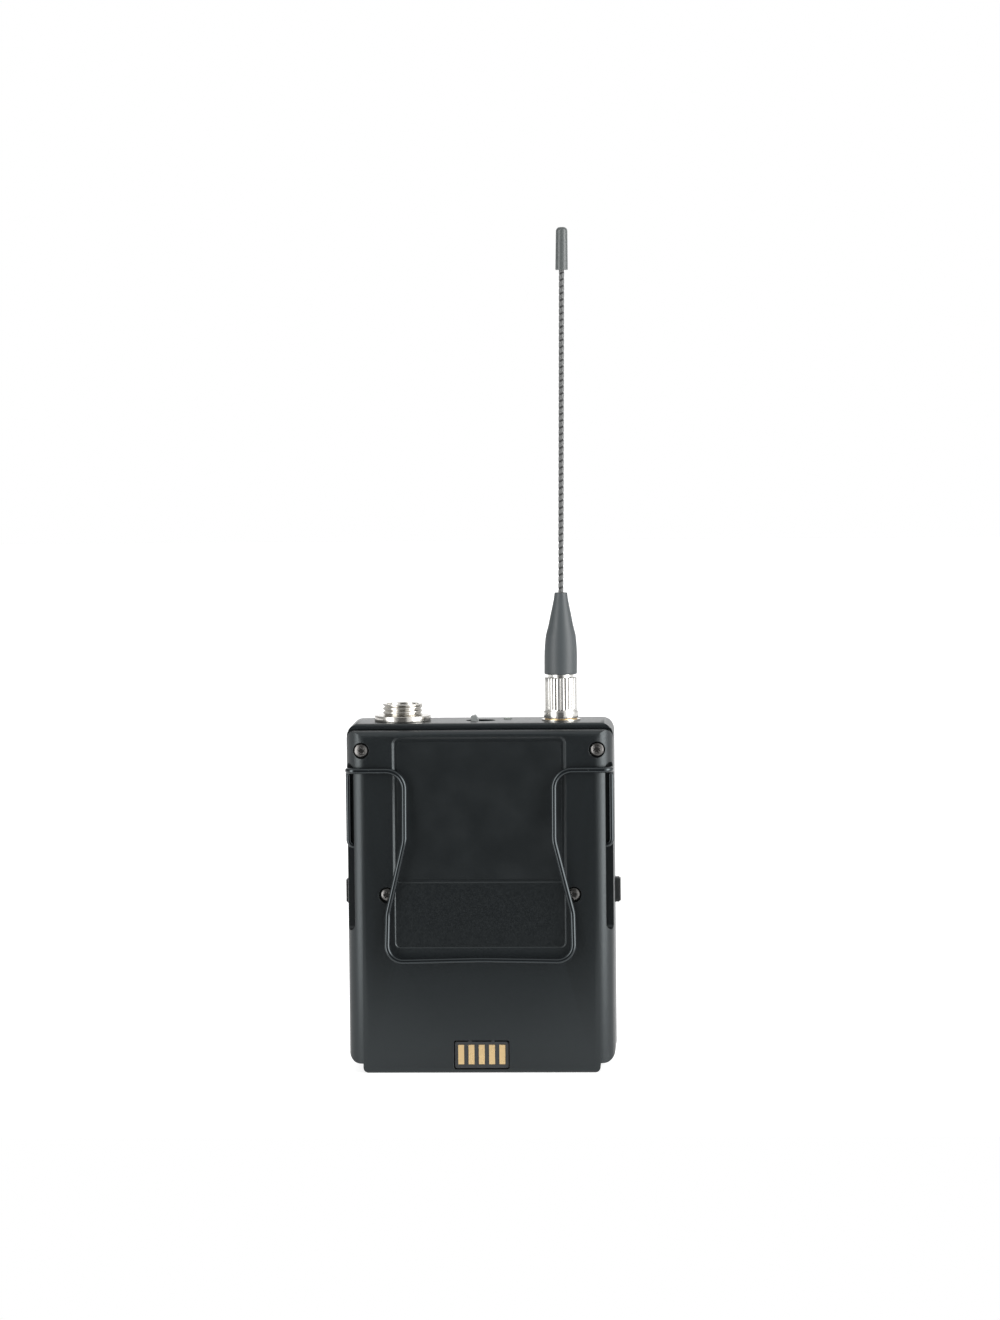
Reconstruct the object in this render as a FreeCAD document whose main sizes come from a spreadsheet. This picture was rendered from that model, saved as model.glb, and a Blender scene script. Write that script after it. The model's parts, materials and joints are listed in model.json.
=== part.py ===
import FreeCAD, Part
import math
import os
import re

import Sketcher

# Belt-worn wireless bodypack transmitter.
# Frame: origin at the centre of the case's bottom face, +Z up the case, +X towards the antenna side
# as seen from the belt clip, -Y towards the belt clip, +Y towards the battery door. Millimetres.

SIZES = {
    # Case shells
    "case_width": 65.8,
    "case_height": 86.4,
    "case_depth": 23.0,
    "wall": 1.6,
    "split_y": -6.0,
    "rear_corner": 5.0,
    "front_corner": 2.5,
    "top_corner": 3.3,
    "cover_top": 84.9,
    "cover_corner": 2.5,
    "deck_lip": 1.4,
    "deck_lip_reach": 2.0,
    "lip_round": 0.9,
    "edge_round": 1.3,
    "cover_round": 2.0,
    "deck_round": 2.0,
    "skirt_half": 29.3,
    "skirt_height": 2.4,
    "skirt_round": 1.5,
    "shoulder": 2.7,
    "gap": 0.1,
    # Rear cover
    "recess_half": 20.85,
    "recess_low": 31.35,
    "recess_step": 47.5,
    "recess_high": 82.8,
    "recess_depth": 0.45,
    "recess_shallow": 0.2,
    "recess_corner": 1.2,
    "recess_flare": 50.0,
    "label_half": 20.2,
    "label_margin": 0.7,
    "label_thick": 0.15,
    "channel_low": 35.4,
    "channel_high": 76.8,
    "channel_back": 10.4,
    "channel_front": 7.6,
    "channel_floor": 30.8,
    "channel_wall_in": 27.2,
    "hook_z": 56.3,
    "hook_y": 8.8,
    "hook_hole": 0.95,
    "hook_end": 28.2,
    "notch_half": 1.4,
    "notch_floor": 30.0,
    # Case screws
    "screw_x_top": 29.0,
    "screw_z_top": 80.0,
    "screw_x_low": 23.0,
    "screw_z_low": 44.3,
    "screw_boss": 3.0,
    "screw_boss_end": 2.0,
    "counterbore": 2.0,
    "counterbore_y": 9.9,
    "screw_head": 1.65,
    "screw_head_height": 1.3,
    "screw_dome": 3.6,
    "screw_shank": 1.15,
    "screw_length": 8.0,
    "screw_clear": 1.35,
    "screw_core": 1.2,
    "drive_radius": 0.58,
    "drive_lobe": 0.26,
    "drive_depth": 0.8,
    # Charging window
    "window_half": 6.85,
    "window_low": 1.0,
    "window_high": 8.15,
    "window_corner": 0.5,
    "window_back": 8.0,
    "block_inset": 0.4,
    "block_gap": 0.2,
    "block_gap_top": 0.35,
    "block_front": 9.0,
    "board_tab_half": 2.4,
    "block_tab": 0.8,
    "board_shoulder": 1.0,
    "contact_pitch": 2.54,
    "contact_width": 1.45,
    "contact_low": 2.2,
    "contact_high": 7.05,
    "contact_proud": 0.1,
    "contact_board_thick": 0.8,
    # Belt clip wire
    "wire": 0.7,
    "clip_split": 27.0,
    "clip_end_gap": 0.02,
    "clip_y": 12.4,
    "clip_z": 75.1,
    "clip_half": 18.4,
    "clip_shoulder_bend": 4.5,
    "clip_belly_y": 14.2,
    "clip_belly_z": 57.9,
    "clip_kink_half": 22.8,
    "clip_kink_y": 12.3,
    "clip_kink_z": 39.8,
    "clip_foot_half": 23.05,
    "clip_foot_y": 14.0,
    "clip_foot_z": 28.05,
    "clip_foot_bend": 4.0,
    "clip_foot_bow": 0.45,
    "clip_bow_bend": 120.0,
    "clip_kink_bend": 6.0,
    "arm_half": 32.35,
    "arm_bend": 2.0,
    "arm_small_bend": 1.5,
    "arm_end": 28.5,
    # Battery bay and door
    "door_opening": 30.0,
    "door_half": 29.8,
    "door_top": 49.5,
    "door_corner": 1.5,
    "hinge_y": 8.9,
    "hinge_z": 3.0,
    "barrel": 2.6,
    "barrel_half": 24.0,
    "barrel_clear": 2.75,
    "door_skirt": 5.9,
    "pin": 0.8,
    "pin_bore": 0.85,
    "pin_half": 28.5,
    "bay_half": 27.5,
    "bay_wall": 1.2,
    "bay_low": 6.6,
    "bay_high": 39.0,
    "bay_floor": 0.8,
    "bay_rear": -4.6,
    "bay_front": 9.8,
    "bulkhead": 1.0,
    "bulkhead_top": 47.0,
    "pad_half": 22.0,
    "pad_low": 12.0,
    "pad_high": 36.0,
    "pad_thick": 0.8,
    "pack_half": 25.75,
    "pack_low": 7.2,
    "pack_high": 38.2,
    "pack_rear": -4.3,
    "pack_front": 9.05,
    "terminal_pitch": 9.0,
    "terminal_width": 3.5,
    # Door latches
    "latch_z": 43.6,
    "latch_half_height": 3.1,
    "latch_low_y": 3.4,
    "latch_high_y": 7.6,
    "latch_round": 1.0,
    "latch_proud": 1.35,
    "latch_edge": 0.3,
    "flange_in": 29.7,
    "flange_out": 30.8,
    "flange_low_y": 2.8,
    "flange_high_y": 8.0,
    "flange_half_height": 3.55,
    "nose_in": 27.5,
    "nose_low_y": 6.8,
    "nose_half_height": 1.5,
    "post_out": 28.3,
    "post_high_y": 9.2,
    "wedge_out": 28.5,
    "wedge_low_y": 8.6,
    "keeper_in": 28.9,
    "keeper_out": 29.7,
    "keeper_low_y": 8.1,
    "keeper_lip_in": 28.6,
    "keeper_lip_y": 8.5,
    "keeper_half_height": 1.2,
    "rib_in": 23.4,
    "rib_out": 24.4,
    "rib_low_y": 3.0,
    "rib_high_y": 8.0,
    "rib_top": 47.5,
    "spring_y": 5.0,
    "spring_radius": 1.3,
    "spring_wire": 0.175,
    "spring_pitch": 0.88,
    # Boards
    "main_half": 25.5,
    "main_low": 47.5,
    "main_high": 82.0,
    "board_thick": 1.0,
    "post_x_top": 11.0,
    "post_z_top": 79.0,
    "post_x_low": 15.0,
    "post_z_low": 50.8,
    "post": 1.8,
    "post_core": 0.85,
    "board_screw": 0.8,
    "board_screw_length": 5.0,
    "board_screw_head": 1.6,
    "shield_low": 56.0,
    "shield_high": 74.0,
    "shield_left": -20.0,
    "shield_right": 6.0,
    "shield_height": 2.2,
    "shield_thick": 0.3,
    "connector_half": 8.0,
    "connector_low": 54.5,
    "connector_high": 57.5,
    "interface_y": 5.0,
    "interface_thick": 0.8,
    "interface_left": -25.5,
    "interface_right": 27.5,
    "interface_low": 53.0,
    "interface_high": 75.5,
    # Display and keys on the front
    "lens_left": -25.0,
    "lens_right": 9.0,
    "lens_low": 57.0,
    "lens_high": 77.0,
    "lens_recess": 0.6,
    "lens_thick": 0.55,
    "lens_rim": 2.0,
    "display_inset": 1.0,
    "display_front": 9.6,
    "key_x_in": 14.5,
    "key_x_out": 23.5,
    "key_z_low": 62.0,
    "key_z_high": 71.0,
    "key": 2.6,
    "key_flange": 3.2,
    "key_flange_y": 9.1,
    "key_flange_thick": 0.7,
    "key_proud": 0.5,
    "tact_half": 2.6,
    "tact_height": 2.2,
    "tact_plunger": 1.0,
    "tact_plunger_height": 0.6,
    "infrared_x": 19.0,
    "infrared_z": 54.3,
    "infrared_half": 2.5,
    "infrared_half_height": 1.1,
    "infrared_rim": 0.7,
    # Top deck centre line
    "deck_y": 0.5,
    # Microphone jack
    "mic_x": -19.4,
    "jack_thread": 4.95,
    "jack_root": 4.6,
    "jack_under": 4.7,
    "jack_nut_bore": 4.75,
    "jack_hole": 5.0,
    "jack_bore": 4.0,
    "jack_low": 76.0,
    "jack_high": 90.7,
    "thread_low": 87.7,
    "thread_pitch": 1.0,
    "thread_crest": 0.35,
    "ring": 7.0,
    "ring_height": 1.45,
    "ring_edge": 0.3,
    "inner_nut_flats": 12.0,
    "inner_nut_low": 82.2,
    "inner_nut_high": 84.35,
    "insulator_low": 78.0,
    "insulator_high": 82.0,
    "mic_pin": 0.5,
    "mic_pin_circle": 2.2,
    "mic_pin_low": 75.0,
    "mic_pin_high": 89.1,
    "mic_wire": 0.4,
    "mic_wire_low": 67.0,
    "mic_wire_step": 3.0,
    # Antenna jack and antenna
    "antenna_x": 19.9,
    "washer": 4.8,
    "washer_thick": 0.3,
    "barrel_thread": 3.175,
    "barrel_top": 94.0,
    "jack_flange": 4.05,
    "jack_body_low": 81.5,
    "jack_nut_flats": 9.0,
    "jack_nut_low": 82.6,
    "jack_tail": 2.5,
    "jack_tail_low": 79.5,
    "dielectric": 2.0,
    "socket": 0.9,
    "socket_bore": 0.5,
    "socket_low": 90.0,
    "coax": 0.9,
    "coax_low": 68.0,
    "coax_bend": 2.5,
    "jack_shoulder": 3.5,
    "jack_shoulder_top": 86.9,
    "nut_low": 87.0,
    "nut_collar": 4.275,
    "nut_collar_top": 88.75,
    "nut_body": 3.975,
    "nut_top": 97.05,
    "nut_bore": 3.23,
    "nut_bore_top": 95.85,
    "nut_neck_bore": 2.6,
    "flute_count": 24.0,
    "flute": 0.16,
    "plug_flange": 3.1,
    "plug_flange_low": 94.45,
    "plug_stem": 2.5,
    "plug_neck_low": 97.15,
    "plug_neck": 3.15,
    "boot_low": 97.8,
    "contact_pin": 0.46,
    "contact_pin_low": 91.0,
    "boot_foot": 4.05,
    "boot_shoulder_z": 105.9,
    "boot_shoulder": 3.86,
    "boot_waist_z": 111.3,
    "boot_waist": 2.75,
    "boot_top_z": 118.0,
    "boot_top": 1.62,
    "boot_foot_round": 0.4,
    "whip": 0.65,
    "whip_bore": 0.67,
    "whip_top": 206.0,
    "cap_low": 197.5,
    "cap_top": 208.05,
    "cap_foot": 1.53,
    "cap_head": 1.4,
    "cap_dome": 0.9,
    # Power switch and lamp
    "switch_half": 4.2,
    "switch_half_depth": 3.4,
    "switch_low": 77.6,
    "switch_pocket_half": 2.6,
    "switch_pocket_depth": 1.5,
    "switch_pocket_low": 79.2,
    "pivot_z": 80.8,
    "lever_hub": 1.4,
    "lever_half": 0.85,
    "lever_half_depth": 1.35,
    "lever_length": 7.3,
    "lever_tip": 0.9,
    "lever_tilt": 15.0,
    "dish_half": 2.95,
    "dish_half_depth": 2.3,
    "dish_rim": 0.7,
    "dish_depth": 0.5,
    "lamp_x": 6.5,
    "lamp_y": 4.5,
    "lamp": 1.0,
    "lamp_low": 80.5,
    "lamp_proud": 0.3,
}

doc = FreeCAD.newDocument("BodypackTransmitter")
sheet = doc.addObject("Spreadsheet::Sheet", "Sizes")
for row, (size_name, size) in enumerate(SIZES.items(), start=1):
    sheet.set(f"A{row}", size_name)
    sheet.set(f"B{row}", str(size))
    sheet.setAlias(f"B{row}", size_name)
doc.recompute()

SUBPARTS = {}


# ---------------------------------------------------------------- formulas and placement

def formula(text):
    """Turn the size names in a formula into references to the sheet's cells."""
    def reference(word):
        return "Sizes." + word[0] if word[0] in SIZES else word[0]
    return re.sub(r"[a-z][a-z0-9_]*", reference, str(text))


def number(text):
    """Work a formula out from the sheet."""
    return float(sheet.evalExpression(formula(text)))


def bind(thing, **formulas):
    """Bind properties of an object to formulas; two underscores stand for a dot."""
    for path, text in formulas.items():
        thing.setExpression(path.replace("__", "."), formula(text))


def place(thing, x=0, y=0, z=0):
    """Bind an object's position to formulas."""
    bind(thing, Placement__Base__x=x, Placement__Base__y=y, Placement__Base__z=z)
    return thing


# ---------------------------------------------------------------- solids

def block(name, x, y, z):
    """A box between (low, high) formulas on each axis."""
    box = doc.addObject("Part::Box", name)
    bind(box, Length=f"({x[1]}) - ({x[0]})", Width=f"({y[1]}) - ({y[0]})", Height=f"({z[1]}) - ({z[0]})")
    return place(box, x[0], y[0], z[0])


def rod(name, axis, centre, span, radius):
    """A cylinder along axis X, Y or Z, through a centre in the other two axes."""
    cylinder = doc.addObject("Part::Cylinder", name)
    bind(cylinder, Radius=radius, Height=f"({span[1]}) - ({span[0]})")
    if axis == "X":
        cylinder.Placement.Rotation = FreeCAD.Rotation(FreeCAD.Vector(0, 1, 0), 90)
        return place(cylinder, span[0], centre[0], centre[1])
    if axis == "Y":
        cylinder.Placement.Rotation = FreeCAD.Rotation(FreeCAD.Vector(1, 0, 0), -90)
        return place(cylinder, centre[0], span[0], centre[1])
    return place(cylinder, centre[0], centre[1], span[0])


def fused(name, *pieces):
    fusion = doc.addObject("Part::MultiFuse", name)
    fusion.Shapes = list(pieces)
    fusion.Refine = True
    return fusion


def shared(name, *pieces):
    """What all the pieces have in common."""
    common = doc.addObject("Part::MultiCommon", name)
    common.Shapes = list(pieces)
    return common


def cut(name, base, *cutters):
    difference = doc.addObject("Part::Cut", name)
    difference.Base = base
    difference.Tool = cutters[0] if len(cutters) == 1 else fused(name + "_cutters", *cutters)
    return difference


def group(name, *pieces):
    """Separate solids of one node."""
    compound = doc.addObject("Part::Compound", name)
    compound.Links = list(pieces)
    return compound


def mirrored(name, source):
    """The source's mirror image in the plane X = 0."""
    mirror = doc.addObject("Part::Mirroring", name)
    mirror.Source = source
    mirror.Base = FreeCAD.Vector(0, 0, 0)
    mirror.Normal = FreeCAD.Vector(1, 0, 0)
    return mirror


# ---------------------------------------------------------------- sketches

def arc_between(start, end, radius):
    """The short arc from start to end; a positive radius turns anticlockwise."""
    chord = end - start
    middle = (start + end) * 0.5
    rise = math.sqrt(max(radius * radius - chord.Length ** 2 / 4, 0))
    side = FreeCAD.Vector(-chord.y, chord.x, 0).normalize()
    centre = middle + side * math.copysign(rise, radius)
    first, last = (start, end) if radius > 0 else (end, start)
    angles = [math.atan2(p.y - centre.y, p.x - centre.x) for p in (first, last)]
    circle = Part.Circle(centre, FreeCAD.Vector(0, 0, 1), abs(radius))
    return Part.ArcOfCircle(circle, angles[0], angles[1])


def outline(body, plane, offset, points):
    """A closed sketch on one of the body's origin planes, moved along its normal by offset.

    Each point is (u, v) or (u, v, radius), where the radius makes an arc of the edge that follows.
    """
    support = [item for item in body.Origin.OriginFeatures if item.Role == plane + "_Plane"][0]
    sketch = body.newObject("Sketcher::SketchObject", body.Name + "_outline")
    sketch.AttachmentSupport = [(support, "")]
    sketch.MapMode = "FlatFace"
    bind(sketch, AttachmentOffset__Base__z=offset)
    corners = [FreeCAD.Vector(number(point[0]), number(point[1]), 0) for point in points]
    starts = []
    ends = []
    for index, point in enumerate(points):
        start = corners[index]
        end = corners[(index + 1) % len(points)]
        radius = number(point[2]) if len(point) == 3 else 0
        edge = arc_between(start, end, radius) if radius else Part.LineSegment(start, end)
        sketch.addGeometry(edge, False)
        starts.append(2 if radius < 0 else 1)
        ends.append(1 if radius < 0 else 2)
    for index, point in enumerate(points):
        following = (index + 1) % len(points)
        sketch.addConstraint(
            Sketcher.Constraint("Coincident", index, ends[index], following, starts[following]))
        for kind, value in (("DistanceX", point[0]), ("DistanceY", point[1])):
            place_in = Sketcher.Constraint(kind, -1, 1, index, starts[index], number(value))
            sketch.setExpression(f"Constraints[{sketch.addConstraint(place_in)}]", formula(value))
        if len(point) == 3:
            bend = sketch.addConstraint(Sketcher.Constraint("Radius", index, abs(number(point[2]))))
            sketch.setExpression(f"Constraints[{bend}]", formula(f"abs({point[2]})"))
    return sketch


def prism(name, axis, span, points, flare=None):
    """A padded outline between two places on an axis.

    The outline's own axes are (X, Y) for axis Z, (X, Z) for axis Y and (Y, Z) for axis X.
    A flare in degrees widens the pad away from the sketch, which for axis Y is its high end.
    """
    body = doc.addObject("PartDesign::Body", name)
    plane = {"X": "YZ", "Y": "XZ", "Z": "XY"}[axis]
    offset = f"-({span[1]})" if axis == "Y" else span[0]
    pad = body.newObject("PartDesign::Pad", name + "_pad")
    pad.Profile = outline(body, plane, offset, points)
    bind(pad, Length=f"({span[1]}) - ({span[0]})")
    if flare:
        bind(pad, TaperAngle=flare)
    body.Tip = pad
    return body


def turned(name, x, y, points):
    """A body of revolution about the upright axis at (x, y); the outline is (radius, height)."""
    body = doc.addObject("PartDesign::Body", name)
    sketch = outline(body, "XZ", 0, points)
    revolution = body.newObject("PartDesign::Revolution", name + "_turn")
    revolution.Profile = sketch
    revolution.ReferenceAxis = (sketch, ["V_Axis"])
    revolution.Angle = 360
    body.Tip = revolution
    return place(body, x, y)


def rounded(u, v, radius):
    """Outline points of a rectangle with round corners."""
    left, right = u
    low, high = v
    return [
        (f"({left}) + ({radius})", low),
        (f"({right}) - ({radius})", low, radius),
        (right, f"({low}) + ({radius})"),
        (right, f"({high}) - ({radius})", radius),
        (f"({right}) - ({radius})", high),
        (f"({left}) + ({radius})", high, radius),
        (left, f"({high}) - ({radius})"),
        (left, f"({low}) + ({radius})", radius),
    ]


# ---------------------------------------------------------------- bent wires

def bent_wire(name, path, bends, radius):
    """A round wire along straight runs, with a bend radius at each inner corner of the path."""
    points = [FreeCAD.Vector(*[number(value) for value in point]) for point in path]
    edges = []
    last = points[0]
    for before, corner, after, bend in zip(points, points[1:], points[2:], bends):
        back = (before - corner).normalize()
        ahead = (after - corner).normalize()
        half_angle = back.getAngle(ahead) / 2
        reach = number(bend) / math.tan(half_angle)
        bisector = (back + ahead).normalize()
        centre_distance = number(bend) / math.sin(half_angle)
        start = corner + back * reach
        finish = corner + ahead * reach
        crown = corner + bisector * (centre_distance - number(bend))
        edges.append(Part.makeLine(last, start))
        edges.append(Part.Arc(start, crown, finish).toShape())
        last = finish
    edges.append(Part.makeLine(last, points[-1]))
    direction = (points[1] - points[0]).normalize()
    section = Part.Wire([Part.makeCircle(number(radius), points[0], direction)])
    wire = doc.addObject("Part::Feature", name)
    wire.Shape = Part.Wire(edges).makePipeShell([section], True, False)
    wire.Placement = FreeCAD.Placement()
    return wire


def coil(name, start, length, coil_radius, wire_radius, pitch):
    """A compression spring along +X from a start point."""
    helix = Part.makeHelix(number(pitch), number(length), number(coil_radius))
    section = Part.Wire([Part.makeCircle(
        number(wire_radius), FreeCAD.Vector(number(coil_radius), 0, 0), FreeCAD.Vector(0, 1, 0))])
    spring = doc.addObject("Part::Feature", name)
    spring.Shape = Part.Wire(helix).makePipeShell([section], True, True)
    turn = FreeCAD.Rotation(FreeCAD.Vector(0, 1, 0), 90)
    spring.Placement = FreeCAD.Placement(FreeCAD.Vector(*[number(value) for value in start]), turn)
    return spring


def subpart(label, thing):
    """Name a finished sub-part; the name is also its file's name."""
    thing.Label = label
    SUBPARTS[label] = thing
    return thing


# ---------------------------------------------------------------- case outlines

REAR = "-case_depth / 2"
FRONT = "case_depth / 2"
SCREW_PLACES = (("top", "screw_x_top", "screw_z_top"), ("low", "screw_x_low", "screw_z_low"))
POST_PLACES = (("top", "post_x_top", "post_z_top"), ("low", "post_x_low", "post_z_low"))
KEY_PLACES = {
    "menu_button_up": ("key_x_in", "key_z_high"),
    "menu_button_down": ("key_x_in", "key_z_low"),
    "menu_button_enter": ("key_x_out", "key_z_high"),
    "menu_button_exit": ("key_x_out", "key_z_low"),
}


def plan_prism(name, inset, z):
    """The case seen from above: large rear corners, small front corners."""
    half = f"case_width / 2 - {inset}"
    rear = f"{REAR} + {inset}"
    front = f"{FRONT} - {inset}"
    rear_round = f"rear_corner - {inset}"
    front_round = f"front_corner - {inset}"
    return prism(name, "Z", z, [
        (f"-({half}) + {rear_round}", rear),
        (f"{half} - ({rear_round})", rear, rear_round),
        (half, f"{rear} + {rear_round}"),
        (half, f"{front} - ({front_round})", front_round),
        (f"{half} - ({front_round})", front),
        (f"-({half}) + {front_round}", front, front_round),
        (f"-({half})", f"{front} - ({front_round})"),
        (f"-({half})", f"{rear} + {rear_round}", rear_round),
    ])


def face_prism(name, top, corner, y):
    """The case seen from the clip side: round top corners and a stepped foot."""
    half = "case_width / 2"
    shoulder_z = "skirt_height + shoulder"
    return prism(name, "Y", y, [
        ("-skirt_half + skirt_round", "0"),
        ("skirt_half - skirt_round", "0", "skirt_round"),
        ("skirt_half", "skirt_round"),
        ("skirt_half", "skirt_height"),
        (f"{half} - shoulder", "skirt_height", "shoulder"),
        (half, shoulder_z),
        (half, f"{top} - {corner}", corner),
        (f"{half} - {corner}", top),
        (f"-{half} + {corner}", top, corner),
        (f"-{half}", f"{top} - {corner}"),
        (f"-{half}", shoulder_z, "shoulder"),
        (f"-{half} + shoulder", "skirt_height"),
        ("-skirt_half", "skirt_height"),
        ("-skirt_half", "skirt_round", "skirt_round"),
    ])


def screw_bosses(prefix, y, radius):
    """Four upright-to-the-cover cylinders, one round each case screw."""
    bosses = []
    for place_name, x, z in SCREW_PLACES:
        right = rod(f"{prefix}_{place_name}_right", "Y", (x, z), y, radius)
        bosses += [right, mirrored(f"{prefix}_{place_name}_left", right)]
    return bosses


def post_rods(prefix, y, radius):
    """Four cylinders, one at each board screw."""
    posts = []
    for place_name, x, z in POST_PLACES:
        right = rod(f"{prefix}_{place_name}_right", "Y", (x, z), y, radius)
        posts += [right, mirrored(f"{prefix}_{place_name}_left", right)]
    return posts


# ---------------------------------------------------------------- rear cover

def make_rear_cover():
    body = shared(
        "cover_body",
        plan_prism("cover_plan", "0", ("0", "cover_top")),
        face_prism("cover_face", "cover_top", "cover_corner", (REAR, "split_y")),
        prism("cover_side", "X", ("-case_width", "case_width"), [
            (f"{REAR} + edge_round", "0"),
            ("split_y", "0"),
            ("split_y", "cover_top"),
            (f"{REAR} + cover_round", "cover_top", "cover_round"),
            (REAR, "cover_top - cover_round"),
            (REAR, "edge_round", "edge_round"),
        ]),
    )
    inside_z = ("skirt_height + wall", "cover_top - wall")
    inside_half = "case_width / 2 - wall"
    cavity = shared(
        "cover_cavity",
        plan_prism("cover_cavity_plan", "wall", inside_z),
        prism("cover_cavity_face", "Y", (f"{REAR} + wall", "split_y"),
              rounded((f"-({inside_half})", inside_half), inside_z, "wall")),
    )
    channel_wall = block(
        "channel_wall_right", ("channel_wall_in", "case_width / 2"), (REAR, "split_y"),
        ("channel_low - wall", "channel_high + wall"))
    hollow = cut(
        "cover_hollow", cavity, channel_wall, mirrored("channel_wall_left", channel_wall),
        *screw_bosses("cover_boss", (REAR, "split_y"), "screw_boss"))

    channel = prism("channel_right", "X", ("channel_floor", "case_width"), rounded(
        ("-channel_back", "-channel_front"), ("channel_low", "channel_high"),
        "(channel_back - channel_front) / 2 - 0.01"))
    notch = block("hook_notch_right", ("notch_floor", "case_width / 2"),
                  ("-channel_back", "-channel_front"), ("hook_z - notch_half", "hook_z + notch_half"))
    hook_hole = rod("hook_hole_right", "X", ("-hook_y", "hook_z"), ("hook_end", "case_width / 2"),
                    "hook_hole")
    side_cuts = []
    for piece in (channel, notch, hook_hole):
        side_cuts += [piece, mirrored(piece.Name + "_mirror", piece)]

    recess_u = ("-recess_half", "recess_half")
    recess = prism("label_recess", "Y", (f"{REAR} - 1", f"{REAR} + recess_depth"),
                   rounded(recess_u, ("recess_step", "recess_high"), "recess_corner"), "recess_flare")
    shallow = prism("shallow_recess", "Y", (f"{REAR} - 1", f"{REAR} + recess_shallow"),
                    rounded(recess_u, ("recess_low", "recess_high"), "recess_corner"), "recess_flare")
    window = prism("contact_window", "Y", (f"{REAR} - 1", "-window_back"),
                   rounded(("-window_half", "window_half"), ("window_low", "window_high"),
                           "window_corner"))
    return cut(
        "cover_cut", body, hollow, recess, shallow, window, *side_cuts,
        *screw_bosses("counterbore", (f"{REAR} - 1", "-counterbore_y"), "counterbore"),
        *screw_bosses("cover_hole", (REAR, "split_y + 1"), "screw_clear"))


# ---------------------------------------------------------------- front housing

def deck_hole(name, x, radius):
    return rod(name, "Z", (x, "deck_y"), ("case_height - 2 * wall", "case_height + 1"), radius)


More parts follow.
